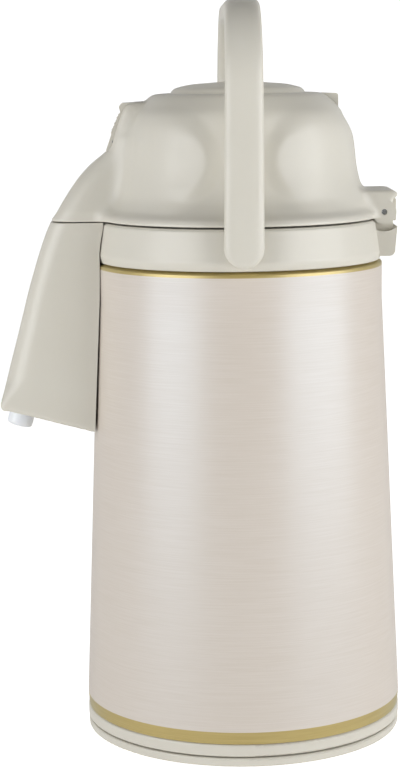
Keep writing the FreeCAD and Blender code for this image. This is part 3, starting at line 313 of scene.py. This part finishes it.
# ---------------------------------------------------------------- distance fields
def outline_field(outline, u, v):
    """Signed distance to a closed outline in a plane, negative inside."""
    nearest = np.full(u.shape, np.inf)
    inside = np.zeros(u.shape, bool)
    for (au, av), (bu, bv) in zip(outline, np.roll(outline, -1, axis=0)):
        eu, ev = bu - au, bv - av
        along = np.clip(((u - au) * eu + (v - av) * ev) / (eu * eu + ev * ev + 1e-12), 0, 1)
        nearest = np.minimum(nearest, (u - au - along * eu) ** 2 + (v - av - along * ev) ** 2)
        if ev:
            inside ^= ((av > v) != (bv > v)) & (u < au + (v - av) * eu / ev)
    return np.where(inside, -1, 1) * np.sqrt(nearest)


def smooth_union(a, b, blend):
    """Two fields joined with a fillet about as wide as the blend."""
    share = np.clip(0.5 + 0.5 * (b - a) / blend, 0, 1)
    return b + (a - b) * share - blend * share * (1 - share)


def rounded_common(a, b, radius):
    """What two fields share, with its edge rounded to a radius."""
    over_a, over_b = np.maximum(a + radius, 0), np.maximum(b + radius, 0)
    return np.minimum(np.maximum(a, b), -radius) + np.hypot(over_a, over_b)


def smooth_step(share):
    share = np.clip(share, 0, 1)
    return share * share * (3 - 2 * share)


# ---------------------------------------------------------------- lid cover
foot = low("lid_base").z - 0.4
opening = high("push_plate").x + 0.6
hinge_x, hinge_z = joints["lid_hinge"]["pos_m"][0] / MM, joints["lid_hinge"]["pos_m"][2] / MM
LID_WALL = 2.2
SLEEVE_WALL = 1.8
SLEEVE_DEPTH = 13.8
EAR_HALF = 21.0
EAR_CHEEK = 4.0

WAIST = np.vstack([
    [(0, 66.0), (30, 66.0)],
    smooth_line([
        (41.0, 66.0), (44.4, 65.5), (47.3, 64.0), (52.7, 59.0), (55.2, 55.6), (56.5, 51.0),
        (57.2, 45.0), (58.2, 36.0), (59.2, 27.0), (61.0, 18.6), (64.0, 11.6), (68.6, 6.2),
        (72.6, 3.4), (74.0, 1.6), (74.0, -1.0),
    ], 6),
    [(74.0, -8.0), (0, -8.0)],
])
NOSE = np.vstack([
    [(-100.5, -8.0)],
    smooth_line([
        (-100.3, 0.0), (-97.2, 4.1), (-93.4, 10.4), (-89.3, 16.7), (-84.6, 23.1),
        (-78.6, 29.3), (-71.6, 34.9), (-67.6, 38.6), (-66.0, 43.0), (-64.2, 49.0),
        (-61.9, 55.0), (-59.6, 59.4), (-56.4, 61.6), (-52.0, 62.0),
    ], 5),
    [(-40.0, 62.2), (-40.0, -8.0)],
])
EAR = np.vstack([
    [(50.0, -8.0), (50.0, 14.4)],
    smooth_line([
        (74.0, 14.5), (79.4, 14.5), (82.0, 13.9), (83.0, 12.6), (82.6, 11.2), (81.2, 10.3),
        (80.5, 9.2), (80.4, 6.0),
    ], 5),
    [(80.4, -8.0)],
])
LOBE_SWELL = 2.9
LOBE_REAR_SWELL = 3.9
LOBE_MIDDLE = 32.2
LOBE_CENTRE = 40.0
LOBE_HALF = 30.0


def lobe_swell(azimuth, height):
    """How far the soft lobes stand out. They leave a waist behind each handle arm, the
    front pair fade into the nose, and the rear pair meet round the back."""
    aside = np.abs(azimuth) - 90
    offset = (np.abs(aside) - LOBE_CENTRE) / LOBE_HALF
    across = np.where(offset < 0, offset, np.where(aside < 0, 0, offset * 0.4)) ** 2
    above = height > LOBE_MIDDLE
    to_back = np.clip((-aside - 46) / 42, 0, 1)
    reach = np.where(above, 29.0 - 7.0 * to_back, 29.5)
    upright = ((height - LOBE_MIDDLE) / reach) ** 2
    soft = np.where(above, 0.9, 0.9 - 0.48 * to_back)
    side = np.where(offset < 0, 0.42, 0.9)
    edge = (side * across + soft * upright + 1e-6) / (across + upright + 1e-6)
    swell = LOBE_SWELL + (LOBE_REAR_SWELL - LOBE_SWELL) * to_back
    return swell * smooth_step((1 - across - upright) / edge)


def lid_body_field(points):
    """Signed distance to the dome and the nose; heights are from the lid's foot."""
    x, y, z = points[..., 0], points[..., 1], points[..., 2]
    radius = np.hypot(x, y)
    azimuth = np.degrees(np.arctan2(y, x))
    dome = outline_field(WAIST, radius, z) - lobe_swell(azimuth, z)
    half = np.interp(z, [5, 46], [19.6, 14.8])
    rounding = np.interp(z, [0, 28, 42, 62], [9.6, 9.0, 4.2, 3.0])
    nose = rounded_common(outline_field(NOSE, x, z), np.abs(y) - half, rounding)
    return smooth_union(dome, nose, np.interp(z, [44, 60], [9.0, 1.2]))


def lid_field(points):
    """Signed distance to the lid cover's outside, the hinge's ear with it."""
    x, y, z = points[..., 0], points[..., 1], points[..., 2]
    ear = rounded_common(outline_field(EAR, x, z), np.abs(y) - EAR_HALF, 1.6)
    return smooth_union(lid_body_field(points), ear, 4.0)


def cast(origins, directions, level, field, reach=95.0):
    """Where rays from inside a form meet its field's level, by bisection."""
    near = np.zeros(origins.shape[:-1])
    far = np.full(origins.shape[:-1], reach)
    for _ in range(24):
        middle = (near + far) / 2
        inside = field(origins + directions * middle[..., None]) < level
        near = np.where(inside, middle, near)
        far = np.where(inside, far, middle)
    return origins + directions * near[..., None]


def lid_columns():
    """Azimuths round the lid, closer together at the ear's and the nose's flanks."""
    steps = []
    for start, stop, step in ((0, 12.5, 1.25), (12.5, 20, 0.3), (20, 60, 1.25),
                              (60, 150, 1.5), (150, 180, 0.75)):
        steps.extend(np.arange(start, stop - 1e-6, step))
    steps.append(180.0)
    half = np.array(steps)
    return np.radians(np.concatenate([half, -half[-2:0:-1]]))


def lid_rows(top_angle):
    """Elevations of the rays from the lid's top edge down to its flange."""
    parts = ((top_angle, 70, 0.9), (70, 22, 1.1), (22, 6, 0.45), (6, -3.2, 0.8))
    rows = [np.arange(start, stop + 1e-6, -step) for start, stop, step in parts]
    return np.radians(np.unique(np.concatenate(rows).round(3))[::-1])


def sculpt_lid_cover():
    """One closed skin: up the plate's sleeve, over the outside and back inside."""
    turn = lid_columns()
    out = np.stack([np.cos(turn), np.sin(turn), np.zeros_like(turn)], axis=-1)
    core, level = 30.0, 5.0

    def fan(rows, skin, field):
        origin = out[:, None] * core + np.array([0, 0, level])
        ways = out[:, None] * np.cos(rows)[None, :, None] + np.sin(rows)[None, :, None] * [0, 0, 1]
        return cast(np.broadcast_to(origin, ways.shape), ways, skin, field)

    def across(height, skin, field):
        origin = out * core + np.array([0, 0, height])
        found = cast(origin, out, skin, field)
        return np.hypot(found[:, 0], found[:, 1])

    def loop(radius, height):
        radius = np.broadcast_to(radius, turn.shape)
        return (out * radius[:, None] + np.array([0, 0, height]))[:, None]

    top = 66.0
    sleeve = opening + SLEEVE_WALL
    top_angle = math.degrees(math.atan2(top - level, opening + 0.9 - core))
    inner_angle = math.degrees(math.atan2(top - LID_WALL - level, sleeve + 0.6 - core))
    edge_radius = across(1.2, 0, lid_field)
    inner_radius = across(1.2, -LID_WALL, lid_body_field)
    grid = np.concatenate([
        loop(sleeve, top - LID_WALL),
        loop(sleeve, top - SLEEVE_DEPTH),
        loop(opening, top - SLEEVE_DEPTH),
        loop(opening, top - 0.6),
        loop(opening + 0.2, top - 0.15),
        loop(opening + 0.6, top),
        fan(lid_rows(top_angle), 0, lid_field),
        loop(edge_radius, 1.2),
        loop(edge_radius, 0.5),
        loop(edge_radius - 0.15, 0.15),
        loop(edge_radius - 0.5, 0),
        loop(inner_radius + 0.4, 0),
        loop(inner_radius, 0.3),
        loop(inner_radius, 1.2),
        fan(lid_rows(inner_angle)[::-1], -LID_WALL, lid_body_field),
    ], axis=1)
    return ring_of_columns("lid_cover_skin", grid + np.array([0, 0, foot]), "ivory_plastic")


def prism(name, outline, half, axis_middle=(0, 0)):
    """A closed bar across Y from an outline of (x, height) corners."""
    count = len(outline)
    points = [(x + axis_middle[0], side * half, z + axis_middle[1])
              for side in (-1, 1) for x, z in outline]
    faces = [tuple(range(count)), tuple(range(2 * count - 1, count - 1, -1))]
    for i in range(count):
        j = (i + 1) % count
        faces.append((j, i, i + count, j + count))
    return piece_from(name, points, faces, "ivory_plastic")


def arc(centre, radius, start, stop, steps):
    angles = np.radians(np.linspace(start, stop, steps + 1))
    return [(centre[0] + radius * math.cos(a), centre[1] + radius * math.sin(a)) for a in angles]


def combine(piece, tool, operation):
    """Cut or join a piece with a tool, which is then removed."""
    modifier = piece.modifiers.new("combine", "BOOLEAN")
    modifier.operation = operation
    modifier.solver = "EXACT"
    modifier.object = tool
    bake(piece)
    bpy.data.objects.remove(tool)


def bake(piece):
    """Replace a piece's mesh by what its modifiers make of it."""
    graph = bpy.context.evaluated_depsgraph_get()
    made = bpy.data.meshes.new_from_object(piece.evaluated_get(graph))
    piece.modifiers.clear()
    piece.data = made


def outward(piece):
    """Merge a mesh's doubles and turn its faces outwards."""
    import bmesh
    work = bmesh.new()
    work.from_mesh(piece.data)
    bmesh.ops.remove_doubles(work, verts=work.verts, dist=0.002 * MM)
    bmesh.ops.recalc_face_normals(work, faces=work.faces)
    work.to_mesh(piece.data)
    work.free()


def make_lid_cover():
    cover = sculpt_lid_cover()
    outward(cover)
    top = foot + 66.0
    knuckle = prism("knuckles", arc((0, 0), 6.4, 0, 352.5, 47), EAR_HALF, (hinge_x, hinge_z))
    combine(cover, knuckle, "UNION")
    well = prism("ear_well", [
        (67, -9), (67, 11.2), (69, 14), (79.0, 14), (82.2, 10.6), (86, 10.6), (86, -9),
    ], EAR_HALF - EAR_CHEEK, (0, foot))
    combine(cover, well, "DIFFERENCE")
    bore = prism("hinge_bore", arc((0, 0), high("hinge_pin").z - hinge_z + 0.06, 0, 345, 23),
                 EAR_HALF + 2, (hinge_x, hinge_z))
    combine(cover, bore, "DIFFERENCE")
    lever_half = high("latch_lever").y + 0.3
    bay = prism("lever_bay", [
        (-80, -30.6), (-64.6, -30.6), (-60, -18.8), (-52.6, -9.2), (-47.6, -8.2),
        (-47.6, -5.2), (-50.2, -4.6), (-50.2, 3), (-80, 3),
    ], lever_half, (0, top))
    combine(cover, bay, "DIFFERENCE")
    slot = tab_slot(top)
    combine(cover, slot, "DIFFERENCE")
    cover.data.shade_smooth()
    cover.data.set_sharp_from_angle(angle=math.radians(32))
    cover.name = "moulded_lid_cover"
    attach(cover, "lid")
    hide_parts("lid_cover")
    return cover


def tab_slot(top):
    """The slot that the lock tab slides along, a block bent round the axis."""
    inner, outer = high("lock_ring").y + 1.8, high("lock_ring").x + 1.2
    low_z, high_z = top - 11.4, top + 3
    turns = np.radians(np.linspace(-7, 37, 23))
    rim = [(inner, low_z), (outer, low_z), (outer, high_z), (inner, high_z)]
    points = [(r * math.cos(a), r * math.sin(a), z) for a in turns for r, z in rim]
    last = (len(turns) - 1) * 4
    faces = [(0, 1, 2, 3), (last + 3, last + 2, last + 1, last)]
    for i in range(len(turns) - 1):
        for k in range(4):
            n = (k + 1) % 4
            faces.append((i * 4 + n, i * 4 + k, i * 4 + 4 + k, i * 4 + 4 + n))
    return piece_from("tab_slot", points, faces, "ivory_plastic")


# ---------------------------------------------------------------- spout
spout_top = high("spout_housing").z + 0.6
SPOUT_HALF = 19.8
SPOUT_WALL = 2.0
SPOUT_TILT = math.radians(15)
NOZZLE_RADIUS = 6.9
NOZZLE_PLACE = (
    low("nozzle").x + NOZZLE_RADIUS * math.cos(SPOUT_TILT), 0,
    low("nozzle").z + NOZZLE_RADIUS * math.sin(SPOUT_TILT),
)
SPOUT = np.vstack([
    [(-62.0, 12.0), (-95.2, 12.0)],
    smooth_line([
        (-98.2, 5.0), (-100.2, 0.0), (-102.7, -5.6), (-106.0, -14.6), (-109.2, -24.6),
        (-112.8, -36.6), (-116.5, -50.6), (-120.3, -64.6), (-123.6, -76.6), (-126.4, -87.6),
        (-127.9, -93.4), (-128.6, -96.4), (-128.3, -98.4), (-126.8, -99.8), (-123.6, -100.0),
    ], 4),
    [(-62.0, -116.5)],
])


def spout_field(points):
    """Signed distance to the spout housing; heights are from its top."""
    x, y, z = points[..., 0], points[..., 1], points[..., 2]
    above_foot = z + 98.2 - (x + 130.2) * -math.tan(SPOUT_TILT)
    rounding = np.interp(above_foot, [0, 3, 18, 98], [1.6, 3.0, 11.5, 9.6])
    return rounded_common(outline_field(SPOUT, x, z), np.abs(y) - SPOUT_HALF, rounding)


def spout_block(name, skin, roof, chamfer):
    """The housing's block, drawn in by a skin, as columns round a leaning axis."""
    half = np.concatenate([np.arange(0, 100, 4.0), np.arange(100, 170, 1.1),
                           np.arange(170, 180.5, 2.5)])
    turn = np.radians(np.concatenate([half, -half[-2:0:-1]]))
    out = np.stack([np.cos(turn), np.sin(turn), np.zeros_like(turn)], axis=-1)[:, None]
    levels = np.concatenate([-roof - np.array([chamfer, 1.0, 2.5]),
                             np.arange(-5, -88, -2.6), [-88.0]])
    dips = np.radians(np.concatenate([np.arange(3, 86, 2.2), [88.0]]))
    origins = np.concatenate([
        [(-84 + 0.2 * z, 0, z) for z in levels],
        np.tile([(-101.6, 0, -88.0)], (len(dips), 1)),
    ])
    drop = np.concatenate([np.zeros(len(levels)), dips])
    ways = out * np.cos(drop)[None, :, None] - np.sin(drop)[None, :, None] * [0, 0, 1]
    skins = cast(np.broadcast_to(origins, ways.shape), ways, skin, spout_field)
    columns = len(turn)
    top = np.array([origins[0][0], 0, -roof])
    rim = skins[:, :1] + np.array([0, 0, chamfer])
    flat = np.array([1, 1, 0]) * (rim - top)
    reach = np.linalg.norm(flat, axis=-1, keepdims=True)
    rim = rim - flat / reach * chamfer
    last = skins[:, -1].mean(axis=0)
    grid = np.concatenate([
        np.broadcast_to(top, (columns, 1, 3)), rim, skins,
        np.broadcast_to(last, (columns, 1, 3)),
    ], axis=1)
    piece = ring_of_columns(name, grid + np.array([0, 0, spout_top]), "ivory_plastic")
    outward(piece)
    return piece


def turned_piece(name, profile, slot, steps=128):
    """A closed profile of (radius, height) points turned about the axis."""
    turn = np.arange(steps) * 2 * np.pi / steps
    radius, height = np.asarray(profile, float).T
    grid = np.stack([
        np.cos(turn)[:, None] * radius,
        np.sin(turn)[:, None] * radius,
        np.broadcast_to(height, (steps, len(height))),
    ], axis=-1)
    piece = ring_of_columns(name, grid, slot)
    outward(piece)
    return piece


def tilted(piece, place):
    """Stand a turned piece on the spout's slope at a place."""
    turn = Matrix.Rotation(SPOUT_TILT, 4, "Y")
    piece.data.transform(Matrix.Translation(Vector(place) * MM) @ turn)
    return piece


def make_spout():
    """The housing: a rounded hollow block scooped to the shell and the collar, with
    a gap down the shell that widens towards its foot."""
    housing = spout_block("moulded_spout_housing", 0.0, 0.0, 0.3)
    cavity = spout_block("spout_cavity", -SPOUT_WALL, 1.0, 0.0)
    combine(housing, cavity, "DIFFERENCE")
    scoop = turned_piece("shell_scoop", [
        (0, 140), (82.3, 140), (80.8, 166), (77.2, 236), (76.8, 255), (76.9, 261),
        (76.3, 266), (74.7, 275), (74.2, 290), (0, 290),
    ], "ivory_plastic")
    combine(housing, scoop, "DIFFERENCE")
    hole = tilted(turned_piece("nozzle_hole", [(0, 1), (7.0, 1), (7.0, 12), (0, 12)],
                               "ivory_plastic", 64), NOZZLE_PLACE)
    combine(housing, hole, "DIFFERENCE")
    housing.data.shade_smooth()
    housing.data.set_sharp_from_angle(angle=math.radians(32))
    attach(housing, "pot")
    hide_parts("spout_housing")


def make_nozzle():
    """The outlet: a frosted tube with a rolled mouth and a flange inside."""
    nozzle = turned_piece("frosted_nozzle", [
        (4.6, 1.0), (4.75, 0.45), (5.1, 0.1), (5.6, 0), (6.1, 0.15), (6.6, 0.6), (6.85, 1.3),
        (6.9, 2.2), (6.9, 7.9), (7.3, 8.2), (8.8, 8.2), (8.8, 9.7), (4.6, 9.7),
    ], "clear_plastic", 96)
    tilted(nozzle, NOZZLE_PLACE)
    nozzle.data.set_sharp_from_angle(angle=math.radians(40))
    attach(nozzle, "pot")
    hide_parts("nozzle")


# ---------------------------------------------------------------- handle
pivot_z = joints["handle_swing"]["pos_m"][2] / MM
HANDLE_FOOT = 20.2
HANDLE_TOP = 18.4
HANDLE_LEAN = math.radians(0.45)
HANDLE_DEPTH = 9.4
HANDLE_GRIP = 12.0
HANDLE_BEND = 44.0


def handle_stations():
    """Places down the hoop's middle: (side, height, way out, half width, half depth)."""
    outer, top = high("handle").y, high("handle").z
    half, end = HANDLE_FOOT / 2, pivot_z
    arm = outer - HANDLE_DEPTH / 2
    bend_y, bend_z = outer - HANDLE_BEND, top - HANDLE_BEND
    stations = []
    for angle in np.radians([86, 80, 72, 62, 50, 38, 26, 13]):
        width = half * math.cos(angle)
        stations.append((arm, end - half * math.sin(angle), 0.0, width,
                         HANDLE_DEPTH / 2 * (1 - 0.35 * math.sin(angle) ** 6)))
    for share in np.linspace(0, 1, 14):
        stations.append((arm, end + (bend_z - end) * share, 0.0, half, HANDLE_DEPTH / 2))
    for turn in np.linspace(0, 90, 31)[1:]:
        depth = np.interp(turn, [0, 90], [HANDLE_DEPTH, HANDLE_GRIP])
        angle = math.radians(turn)
        radius = HANDLE_BEND - depth / 2
        stations.append((bend_y + radius * math.cos(angle), bend_z + radius * math.sin(angle),
                         angle, half, depth / 2))
    for share in np.linspace(0, 1, 7)[1:]:
        stations.append((bend_y * (1 - share), top - HANDLE_GRIP / 2, math.pi / 2, half,
                         HANDLE_GRIP / 2))
    return stations


def make_handle():
    """The carry handle: one crowned bar bent into a hoop, its ends rounded off."""
    right = handle_stations()
    left = [(-y, z, math.pi - angle, w, d) for y, z, angle, w, d in right[-2::-1]]
    around = np.linspace(0, 2 * np.pi, 64, endpoint=False)
    power = 2 / 3.4
    across = np.sign(np.cos(around)) * np.abs(np.cos(around)) ** power
    outward_share = np.sign(np.sin(around)) * np.abs(np.sin(around)) ** power
    rows = []
    for y, z, angle, width, depth in right + left:
        width *= np.interp(z, [pivot_z, high("handle").z], [1, HANDLE_TOP / HANDLE_FOOT])
        rows.append(np.stack([
            across * width,
            y + outward_share * depth * math.cos(angle),
            z + outward_share * depth * math.sin(angle),
        ], axis=-1))
    points = np.concatenate(rows)
    count, last = len(around), (len(rows) - 1) * len(around)
    faces = [tuple(range(count)), tuple(range(last + count - 1, last - 1, -1))]
    for i in range(len(rows) - 1):
        for k in range(count):
            n = (k + 1) % count
            faces.append((i * count + n, i * count + k, (i + 1) * count + k,
                          (i + 1) * count + n))
    rise = points[:, 2] - pivot_z
    points[:, 0] += rise * math.tan(HANDLE_LEAN)
    handle = piece_from("moulded_handle", points, faces, "ivory_plastic")
    outward(handle)
    arm_inside = high("handle").y - HANDLE_DEPTH
    pin = high("handle_pivots").z - pivot_z + 0.06
    for side in (-1, 1):
        bore = prism("pivot_bore", arc((0, 0), pin, 0, 352.5, 47), 3.9, (0, pivot_z))
        bore.data.transform(Matrix.Translation((0, side * (arm_inside + 2.5) * MM, 0)))
        combine(handle, bore, "DIFFERENCE")
    handle.data.shade_smooth()
    handle.data.set_sharp_from_angle(angle=math.radians(32))
    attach(handle, "handle")
    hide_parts("handle")


# ---------------------------------------------------------------- repeated pieces
def node_piece(name, tree_maker, settings, slot):
    """Run a geometry tree on an empty mesh and keep what it makes as a plain mesh."""
    tree = bpy.data.node_groups.new(name, "GeometryNodeTree")
    for title, (value, kind) in settings.items():
        tree.interface.new_socket(title, in_out="INPUT", socket_type=kind)
    tree.interface.new_socket("Material", in_out="INPUT", socket_type="NodeSocketMaterial")
    tree.interface.new_socket("Geometry", in_out="OUTPUT", socket_type="NodeSocketGeometry")
    given = add(tree, "NodeGroupInput").outputs
    made = tree_maker(tree, given)
    whole = add(tree, "GeometryNodeRealizeInstances", links={0: made})
    coat = add(tree, "GeometryNodeSetMaterial", links={
        0: whole.outputs[0], "Material": given["Material"],
    })
    add(tree, "NodeGroupOutput", links={0: coat.outputs[0]})
    piece = bpy.data.objects.new(name, bpy.data.meshes.new(name))
    scene.collection.objects.link(piece)
    modifier = piece.modifiers.new("make", "NODES")
    modifier.node_group = tree
    values = {title: value for title, (value, kind) in settings.items()}
    values["Material"] = FINISHES[slot]
    for item in tree.interface.items_tree:
        if item.in_out == "INPUT":
            modifier[item.identifier] = values[item.name]
    bake(piece)
    piece.data.name = name
    return piece


def ridge_tree(tree, given):
    """A row of round ridges across the lever, spaced along a line."""
    row = add(tree, "GeometryNodeMeshLine", {"mode": "OFFSET"}, {
        "Count": given["Count"], "Start Location": given["Start"], "Offset": given["Step"],
    })
    spine = add(tree, "GeometryNodeCurvePrimitiveLine", links={
        "Start": given["Left end"], "End": given["Right end"],
    })
    round_section = add(tree, "GeometryNodeCurvePrimitiveCircle", {"Resolution": 16},
                        {"Radius": given["Radius"]})
    ridge = add(tree, "GeometryNodeCurveToMesh", {"Fill Caps": True}, {
        "Curve": spine.outputs["Curve"], "Profile Curve": round_section.outputs["Curve"],
    })
    return add(tree, "GeometryNodeInstanceOnPoints", links={
        "Points": row.outputs["Mesh"], "Instance": ridge.outputs["Mesh"],
    }).outputs["Instances"]


def make_grip_ridges():
    """Fine ridges between the lever's three thick ones, for the thumb."""
    top = foot + 66.0
    half = high("latch_lever").y - 3.0
    ridges = node_piece("lever_grip_ridges", ridge_tree, {
        "Count": (4, "NodeSocketInt"),
        "Start": ((-67.0 * MM, 0, (top - 20.0) * MM), "NodeSocketVector"),
        "Step": ((1.35 * MM, 0, 3.1 * MM), "NodeSocketVector"),
        "Left end": ((0, half * MM, 0), "NodeSocketVector"),
        "Right end": ((0, -half * MM, 0), "NodeSocketVector"),
        "Radius": (0.5 * MM, "NodeSocketFloat"),
    }, "ivory_plastic")
    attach(ridges, "latch_lever")


def spring_tree(tree, given):
    """Wire wound in a helix."""
    helix = add(tree, "GeometryNodeCurveSpiral", {"Resolution": 40}, {
        "Rotations": given["Turns"], "Start Radius": given["Radius"],
        "End Radius": given["Radius"], "Height": given["Height"],
    })
    wire = add(tree, "GeometryNodeCurvePrimitiveCircle", {"Resolution": 12},
               {"Radius": given["Wire"]})
    swept = add(tree, "GeometryNodeCurveToMesh", {"Fill Caps": True}, {
        "Curve": helix.outputs["Curve"], "Profile Curve": wire.outputs["Curve"],
    })
    return add(tree, "GeometryNodeTransform", links={
        "Geometry": swept.outputs["Mesh"], "Translation": given["Seat"],
    }).outputs["Geometry"]


def make_return_spring():
    """The plate's return spring, wound to the size of its node."""
    corner, crown, wire = low("return_spring"), high("return_spring"), 0.6
    height = crown.z - corner.z - 2 * wire
    spring = node_piece("wound_return_spring", spring_tree, {
        "Turns": (9.0, "NodeSocketFloat"),
        "Radius": ((crown.x - wire) * MM, "NodeSocketFloat"),
        "Height": (height * MM, "NodeSocketFloat"),
        "Wire": (wire * MM, "NodeSocketFloat"),
        "Seat": ((0, 0, (corner.z + wire) * MM), "NodeSocketVector"),
    }, "steel")
    spring.data.shade_smooth()
    press_with_plate(spring, "return_spring")


def make_bellows():
    """The air pump's bellows, copied from its node's mesh."""
    bellows = bpy.data.objects.new("moulded_bellows", nodes["bellows"].data.copy())
    scene.collection.objects.link(bellows)
    outward(bellows)
    bellows.data.shade_smooth()
    bellows.data.set_sharp_from_angle(angle=math.radians(32))
    press_with_plate(bellows, "bellows")


def press_with_plate(piece, node):
    """Stand a piece in a node's place, fixed to the lid, and hide the node."""
    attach(piece, "lid")
    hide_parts(node)
    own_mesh(piece)


def make_latch_pin():
    """The lever's pin, its ends inside the walls of the nose."""
    corner, crown = low("latch_pin"), high("latch_pin")
    middle, radius = (corner + crown) / 2, (crown.z - corner.z) / 2
    pin = prism("drawn_latch_pin", arc((0, 0), radius, 0, 345, 23),
                high("latch_lever").y + 0.35, (middle.x, middle.z))
    pin.data.materials[0] = FINISHES["steel"]
    pin.data.set_sharp_from_angle(angle=math.radians(32))
    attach(pin, "lid")
    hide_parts("latch_pin")


# ---------------------------------------------------------------- studio
def make_camera():
    """A long lens a little above the lid, level with the handle's grip."""
    heading, pitch, roll = math.radians(0.736), math.radians(8.689), math.radians(0.714)
    ahead = Vector((math.sin(heading) * math.cos(pitch), math.cos(heading) * math.cos(pitch),
                    -math.sin(pitch)))
    level_right = ahead.cross(Vector((0, 0, 1))).normalized()
    level_up = level_right.cross(ahead)
    right = level_right * math.cos(roll) - level_up * math.sin(roll)
    up = level_up * math.cos(roll) + level_right * math.sin(roll)
    data = bpy.data.cameras.new("camera")
    data.lens = 97.56
    data.clip_end = 30
    camera = bpy.data.objects.new("camera", data)
    turn = Matrix((right, up, -ahead)).transposed().to_4x4()
    camera.matrix_world = Matrix.Translation((-0.0362, -1.1175, 0.358)) @ turn
    scene.collection.objects.link(camera)
    scene.camera = camera


def make_floor():
    """A pale sheet that runs back flat and then curves up behind the pot."""
    half, front, back, radius, wall = 6.0, -6.0, 2.2, 1.0, 3.0
    profile = [(front, 0.0), (back, 0.0)]
    for step in range(1, 13):
        angle = math.radians(step * 7.5)
        profile.append((back + radius * math.sin(angle), radius * (1 - math.cos(angle))))
    profile.append((back + radius, wall))
    points = [(side * half, y, z) for y, z in profile for side in (-1, 1)]
    faces = [(2 * i, 2 * i + 1, 2 * i + 3, 2 * i + 2) for i in range(len(profile) - 1)]
    mesh = bpy.data.meshes.new("floor")
    mesh.from_pydata(points, [], faces)
    mesh.shade_smooth()
    floor = bpy.data.objects.new("floor", mesh)
    scene.collection.objects.link(floor)
    material, tree, shader = surface("pale_floor", **{
        "Base Color": colour("#F4F3F1"),
        "Roughness": 0.9,
        "Emission Color": (1, 1, 1, 1),
    })
    seen = add(tree, "ShaderNodeLightPath").outputs["Is Camera Ray"]
    tree.links.new(ranged(tree, seen, (0, 1), (0.21, 0.85)), shader.inputs["Emission Strength"])
    mesh.materials.append(material)


def make_softbox(name, place, aim, size, power, tone):
    data = bpy.data.lights.new(name, "AREA")
    data.shape = "RECTANGLE"
    data.size, data.size_y = size
    data.energy = power
    data.color = colour(tone)[:3]
    lamp = bpy.data.objects.new(name, data)
    lamp.location = place
    lamp.rotation_mode = "QUATERNION"
    lamp.rotation_quaternion = (Vector(aim) - Vector(place)).to_track_quat("-Z", "Y")
    scene.collection.objects.link(lamp)


def make_light():
    """Two broad softboxes with a gap between them at the camera, in a room that is
    pale round about and darker overhead."""
    middle = (0, 0, 0.2)
    make_softbox("left_softbox", (-1.1, -0.8, 0.26), middle, (1.1, 1.3), 13.5, "#FAFCFF")
    make_softbox("right_softbox", (1.15, -0.65, 0.26), middle, (1.4, 1.3), 17, "#FAFCFF")
    world = bpy.data.worlds.new("pale_room")
    scene.world = world
    world.use_nodes = True
    tree = world.node_tree
    tree.nodes.clear()
    way = add(tree, "ShaderNodeTexCoord").outputs["Generated"]
    parts = add(tree, "ShaderNodeSeparateXYZ", links={"Vector": way}).outputs
    walls = ranged(tree, parts["Z"], (0.1, 0.75), (0.72, 0.14))
    front = ranged(tree, parts["Y"], (-0.99, -0.55), (0.05, 1.0))
    strength = add(tree, "ShaderNodeMath", {"operation": "MULTIPLY"}, {0: walls, 1: front})
    room = add(tree, "ShaderNodeBackground", {"Color": colour("#F4F4F4")},
               {"Strength": strength.outputs["Value"]})
    backdrop = add(tree, "ShaderNodeBackground", {"Color": (1, 1, 1, 1), "Strength": 1.0})
    path = add(tree, "ShaderNodeLightPath")
    mix = add(tree, "ShaderNodeMixShader", links={
        0: path.outputs["Is Camera Ray"],
        1: room.outputs["Background"],
        2: backdrop.outputs["Background"],
    })
    add(tree, "ShaderNodeOutputWorld", links={"Surface": mix.outputs["Shader"]})
    scene.view_settings.view_transform = "Standard"


# ---------------------------------------------------------------- make
make_camera()
finish_cad_nodes()
make_lid_cover()
make_spout()
make_nozzle()
make_handle()
make_grip_ridges()
make_return_spring()
make_bellows()
make_latch_pin()
make_floor()
make_light()
bpy.context.view_layer.update()
